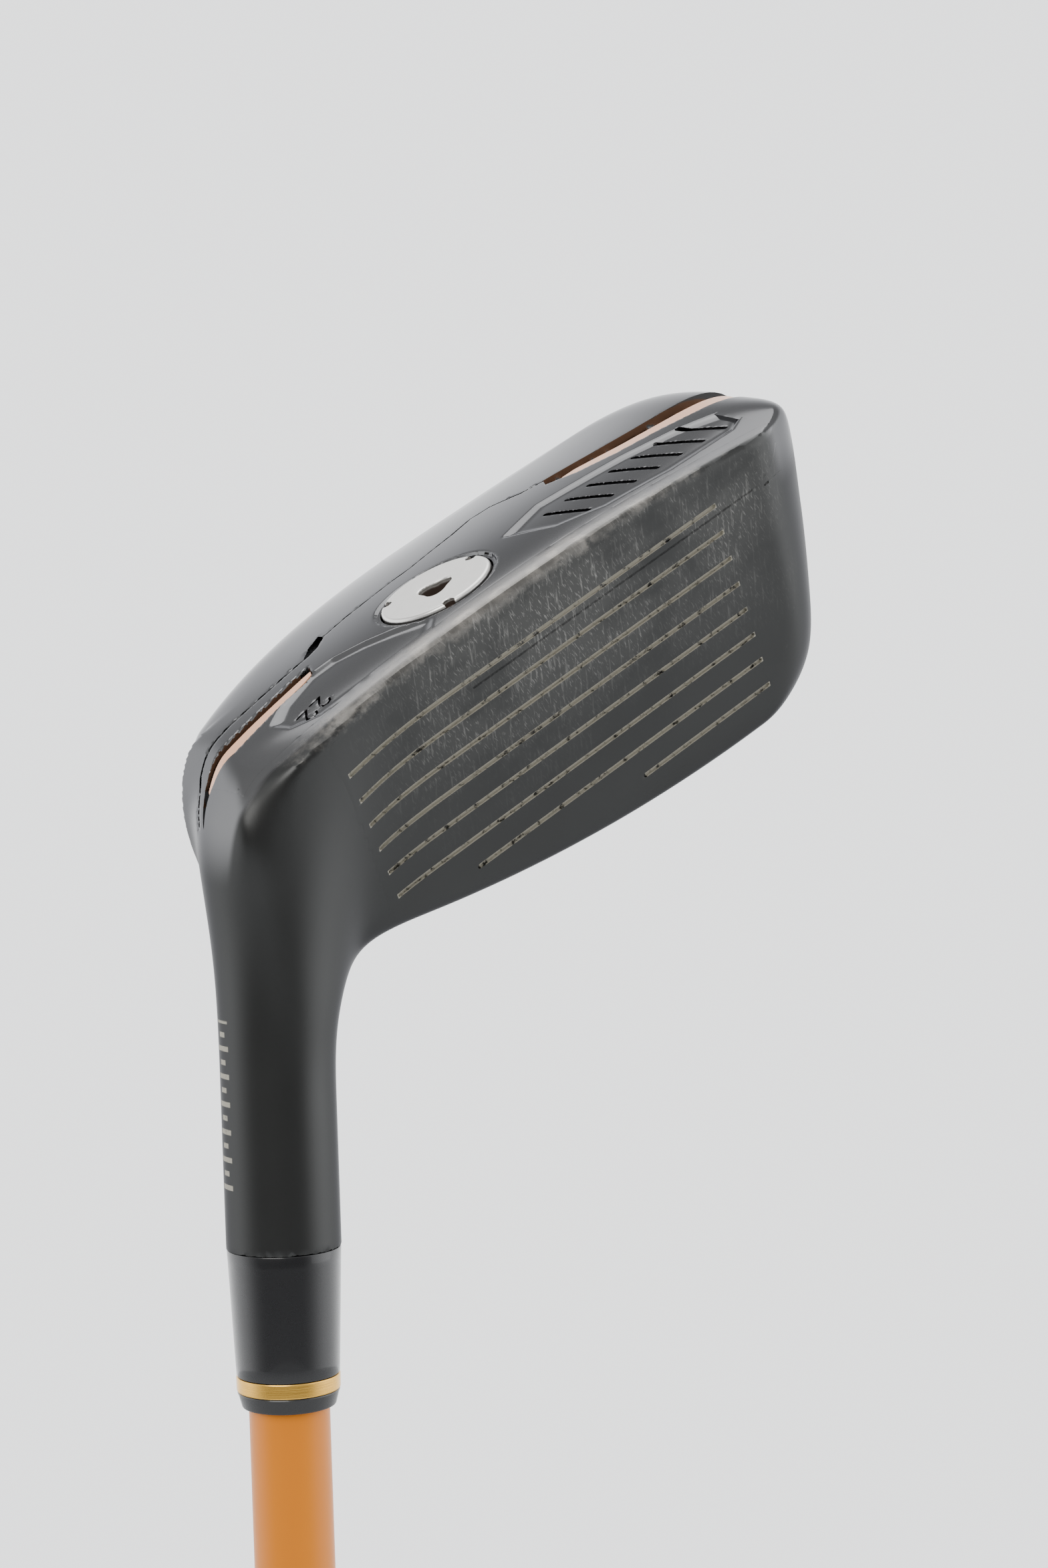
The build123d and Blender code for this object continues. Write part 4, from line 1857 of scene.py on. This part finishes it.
@dataclass(frozen=True)
class Grip:
    """Moulded sleeve with rows of small diamonds between plain bands, and its cap."""

    top: float = 268.0
    bottom: float = 4.0
    bore: float = 8.0
    profile: Outline = ((8.7, 268.0), (9.0, 264.0), (9.6, 200.0), (10.7, 120.0), (12.2, 60.0), (13.3, 25.0),
                        (14.2, 11.0), (15.0, 4.0))
    row_pitch: float = 0.6
    turns: int = 220
    diamond_count: int = 30
    diamond_pitch: float = 2.6
    diamond_depth: float = 0.3
    panel: tuple[float, float] = (22.0, 250.0)
    band_pitch: float = 57.0
    band_width: float = 9.0
    cap_radius: float = 15.2
    cap_edge: float = 1.5
    vent_radius: float = 1.5

    def radius(self, height: Array) -> Array:
        """Outer radius without the pattern."""
        known = sorted((h, r) for r, h in self.profile)
        return np.interp(height, [h for h, _ in known], [r for _, r in known])

    def pattern(self, angle: Array, height: Array) -> Array:
        """How far the pattern sinks below the plain radius, as negative millimetres.

        Args:
            angle: Angles about the shaft.
            height: Heights along it.

        Returns:
            Extra radius.
        """
        low, high = self.panel
        first = np.cos(self.diamond_count / 2 * angle + math.pi * height / self.diamond_pitch)
        second = np.cos(self.diamond_count / 2 * angle - math.pi * height / self.diamond_pitch)
        cut = np.maximum(np.abs(first) ** 10, np.abs(second) ** 10)
        place = (height - low) % self.band_pitch
        plain = ramp(place, self.band_pitch - self.band_width, self.band_pitch - self.band_width + 1.0)
        ends = ramp(height, low, low + 1.5) * ramp(-height, -high, -high + 1.5)
        groove = np.exp(-(((place - self.band_pitch + self.band_width / 2) / 0.8) ** 2))
        inside = np.where(height > self.bottom + 0.5, 1.0, 0.0)
        solid = self.radius(height) > self.bore + 0.4
        depth = np.maximum(cut * (1 - plain), 1.3 * groove * plain)
        return -self.diamond_depth * inside * ends * solid * depth

    def build(self) -> None:
        """Makes the sleeve and the cap."""
        step = self.row_pitch * 1.0
        heights = np.arange(self.bottom, self.top, step)
        outer = [(float(self.radius(np.array(h))), float(h)) for h in heights] + [(8.3, self.top)]
        inner = [(self.bore - 0.35, self.top), (self.bore, self.bottom)]
        outer_rows = len(outer)

        def relief(angle: Array, height: Array) -> Array:
            """The pattern, on the outer rows only.

            Args:
                angle: Angles about the shaft.
                height: Heights along it.

            Returns:
                Extra radius.
            """
            depth = self.pattern(angle, height)
            depth[outer_rows:] = 0.0
            return depth

        sleeve = lathe("v_grip_sleeve", outer + inner, self.turns, relief)
        settle(sleeve, GripRubber("grip_rubber").build(), "grip_rubber", "club", "grip_sleeve")
        middle, ease = self.cap_radius - self.cap_edge, self.cap_edge
        edge = [(middle + ease * math.sin(t), ease - ease * math.cos(t)) for t in np.linspace(0, 1.571, 8)]
        dish = [(self.vent_radius, 0.35), (self.vent_radius + 0.3, 0.1), (self.cap_radius - 4.0, 0.25),
                (self.cap_radius - 3.4, 0.0)]
        top = [(self.cap_radius, self.bottom - 0.3), (self.cap_radius - 0.3, self.bottom),
               (self.vent_radius, self.bottom)]
        cap = lathe("v_grip_cap", dish + edge + top, 96)
        settle(cap, GripRubber("cap_rubber").build(), "cap_rubber", "club", "grip_cap")


class HiddenParts:
    """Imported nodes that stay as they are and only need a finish."""

    FINISHES: dict[str, tuple[Plain, str]] = {
        "weight_port_bush": (Plain("inner_steel", (0.45, 0.45, 0.44), 0.4, 1.0, grain=Grain.TURNED),
                             "inner_steel"),
        "bore_plug": (Plain("plug_foam", (0.35, 0.35, 0.33), 0.9), "plug_foam"),
        "hot_melt_pad": (Plain("hot_melt", (0.7, 0.55, 0.22), 0.35, coat=0.4), "hot_melt"),
        "hosel_epoxy": (Plain("epoxy", (0.55, 0.52, 0.44), 0.35), "epoxy"),
        "tip_weight": (Plain("tip_brass", (0.72, 0.55, 0.26), 0.3, 1.0, grain=Grain.TURNED),
                       "tip_brass"),
        "grip_tape": (Plain("tape", (0.8, 0.76, 0.64), 0.8), "tape"),
    }

    def build(self) -> None:
        """Dresses each node."""
        for node, (finish, slot) in self.FINISHES.items():
            dress(bpy.data.objects[node], finish.build())
            log.info("%s dressed", node)


# ---------------------------------------------------------------- scene


@dataclass(frozen=True)
class Studio:
    """Camera, lights, world and a pale floor."""

    lens: float = 76.73
    spot: Point = (-0.1371, -0.3586, 1.0176)
    azimuth: float = -25.31
    elevation: float = 3.28
    roll: float = -1.74
    sky: Colour = (0.80, 0.81, 0.82)
    dark: Colour = (0.125, 0.125, 0.123)
    strength: float = 2.6
    floor_radius: float = 2.9

    def build(self) -> None:
        """Makes everything that isn't the club."""
        self.camera()
        self.world()
        self.floor()
        head = Vector((0.03, 0.0, 0.98))
        self.lamp("key", head, (-0.75, -0.7, 0.75), 0.9, 9.0, (1.0, 0.985, 0.96))
        self.lamp("fill", head, (0.9, -0.55, 0.3), 1.1, 3.0, (0.97, 0.985, 1.0))
        self.lamp("top", head, (0.1, 0.5, 1.0), 0.8, 5.0, (1.0, 1.0, 1.0))

    def axes(self) -> tuple[Vector, Vector, Vector]:
        """The camera's right, up and back directions.

        Returns:
            Three unit vectors.
        """
        az, el = math.radians(self.azimuth), math.radians(self.elevation)
        back = Vector((math.sin(az) * math.cos(el), -math.cos(az) * math.cos(el), math.sin(el)))
        right = Vector((0, 0, 1)).cross(back).normalized()
        up = back.cross(right)
        lift = math.asin(math.sin(math.radians(self.roll)) / up.z)
        across, along = math.cos(lift), math.sin(lift)
        return right * across + up * along, up * across - right * along, back

    def camera(self) -> None:
        """The main camera, on the sole and face from the toe side."""
        data = bpy.data.cameras.new("main")
        data.lens = self.lens
        data.clip_start, data.clip_end = 0.01, 20.0
        camera = bpy.data.objects.new("main", data)
        bpy.context.scene.collection.objects.link(camera)
        right, up, back = self.axes()
        matrix = Matrix((right, up, back)).transposed().to_4x4()
        matrix.translation = Vector(self.spot)
        camera.matrix_world = matrix
        bpy.context.scene.camera = camera

    def world(self) -> None:
        """Pale surroundings, brightest behind and above the club and dim behind the camera."""
        world = bpy.data.worlds.new("pale")
        nodes = Nodes(world, "Background", "OutputWorld")
        way = nodes.add("ShaderNodeTexCoord").outputs["Generated"]
        terms = []
        for axis in (self.axes()[2], (0.0, 0.0, 1.0)):
            dot = nodes.add("ShaderNodeVectorMath", {"operation": "DOT_PRODUCT"}, {0: way, 1: tuple(axis)})
            terms.append(Value(nodes, dot.outputs["Value"]))
        behind, above = terms
        dim = behind.step(-0.1, 0.75) * above.step(0.75, 0.25)
        shade = above.step(0.36, 0.62) * above.step(0.98, 0.86) * 0.75
        colour = nodes.mix(dim.larger(shade), self.sky, self.dark)
        nodes.set(Color=colour, Strength=self.strength)
        bpy.context.scene.world = world

    def lamp(self, name: str, target: Vector, way: Point, size: float, power: float, colour: Colour) -> None:
        """A soft square lamp that looks at a point.

        Args:
            name: The lamp's name.
            target: What it looks at, in metres.
            way: Where it stands from there, in metres.
            size: Width of its square, in metres.
            power: Power in watts.
            colour: Its colour.
        """
        data = bpy.data.lights.new(name, "AREA")
        data.size, data.energy, data.color = size, power, colour
        lamp = bpy.data.objects.new(name, data)
        bpy.context.scene.collection.objects.link(lamp)
        lamp.location = target + Vector(way)
        lamp.rotation_mode = "QUATERNION"
        lamp.rotation_quaternion = Vector(way).to_track_quat("Z", "Y")

    def floor(self) -> None:
        """A pale round floor at the lowest point of the club."""
        angles = np.linspace(0, 2 * math.pi, 64, endpoint=False)
        rim = np.stack([np.cos(angles), np.sin(angles), np.zeros(64)], -1) * self.floor_radius
        rim[:, 2] = -0.0005
        disc = make_object("floor", rim, [list(range(64))])
        disc.data.materials.append(Plain("floor_pale", (0.82, 0.83, 0.84), 0.6, mottle=0.04).build())


def main() -> None:
    """Builds the club and the studio in order."""
    logging.basicConfig(level=logging.INFO, format="%(message)s")
    for part in (Head(), WeightScrew(), Ferrule(), Shaft(), Grip(), HiddenParts(), Studio()):
        log.info("building %s", type(part).__name__)
        part.build()


if __name__ == "__main__":
    main()
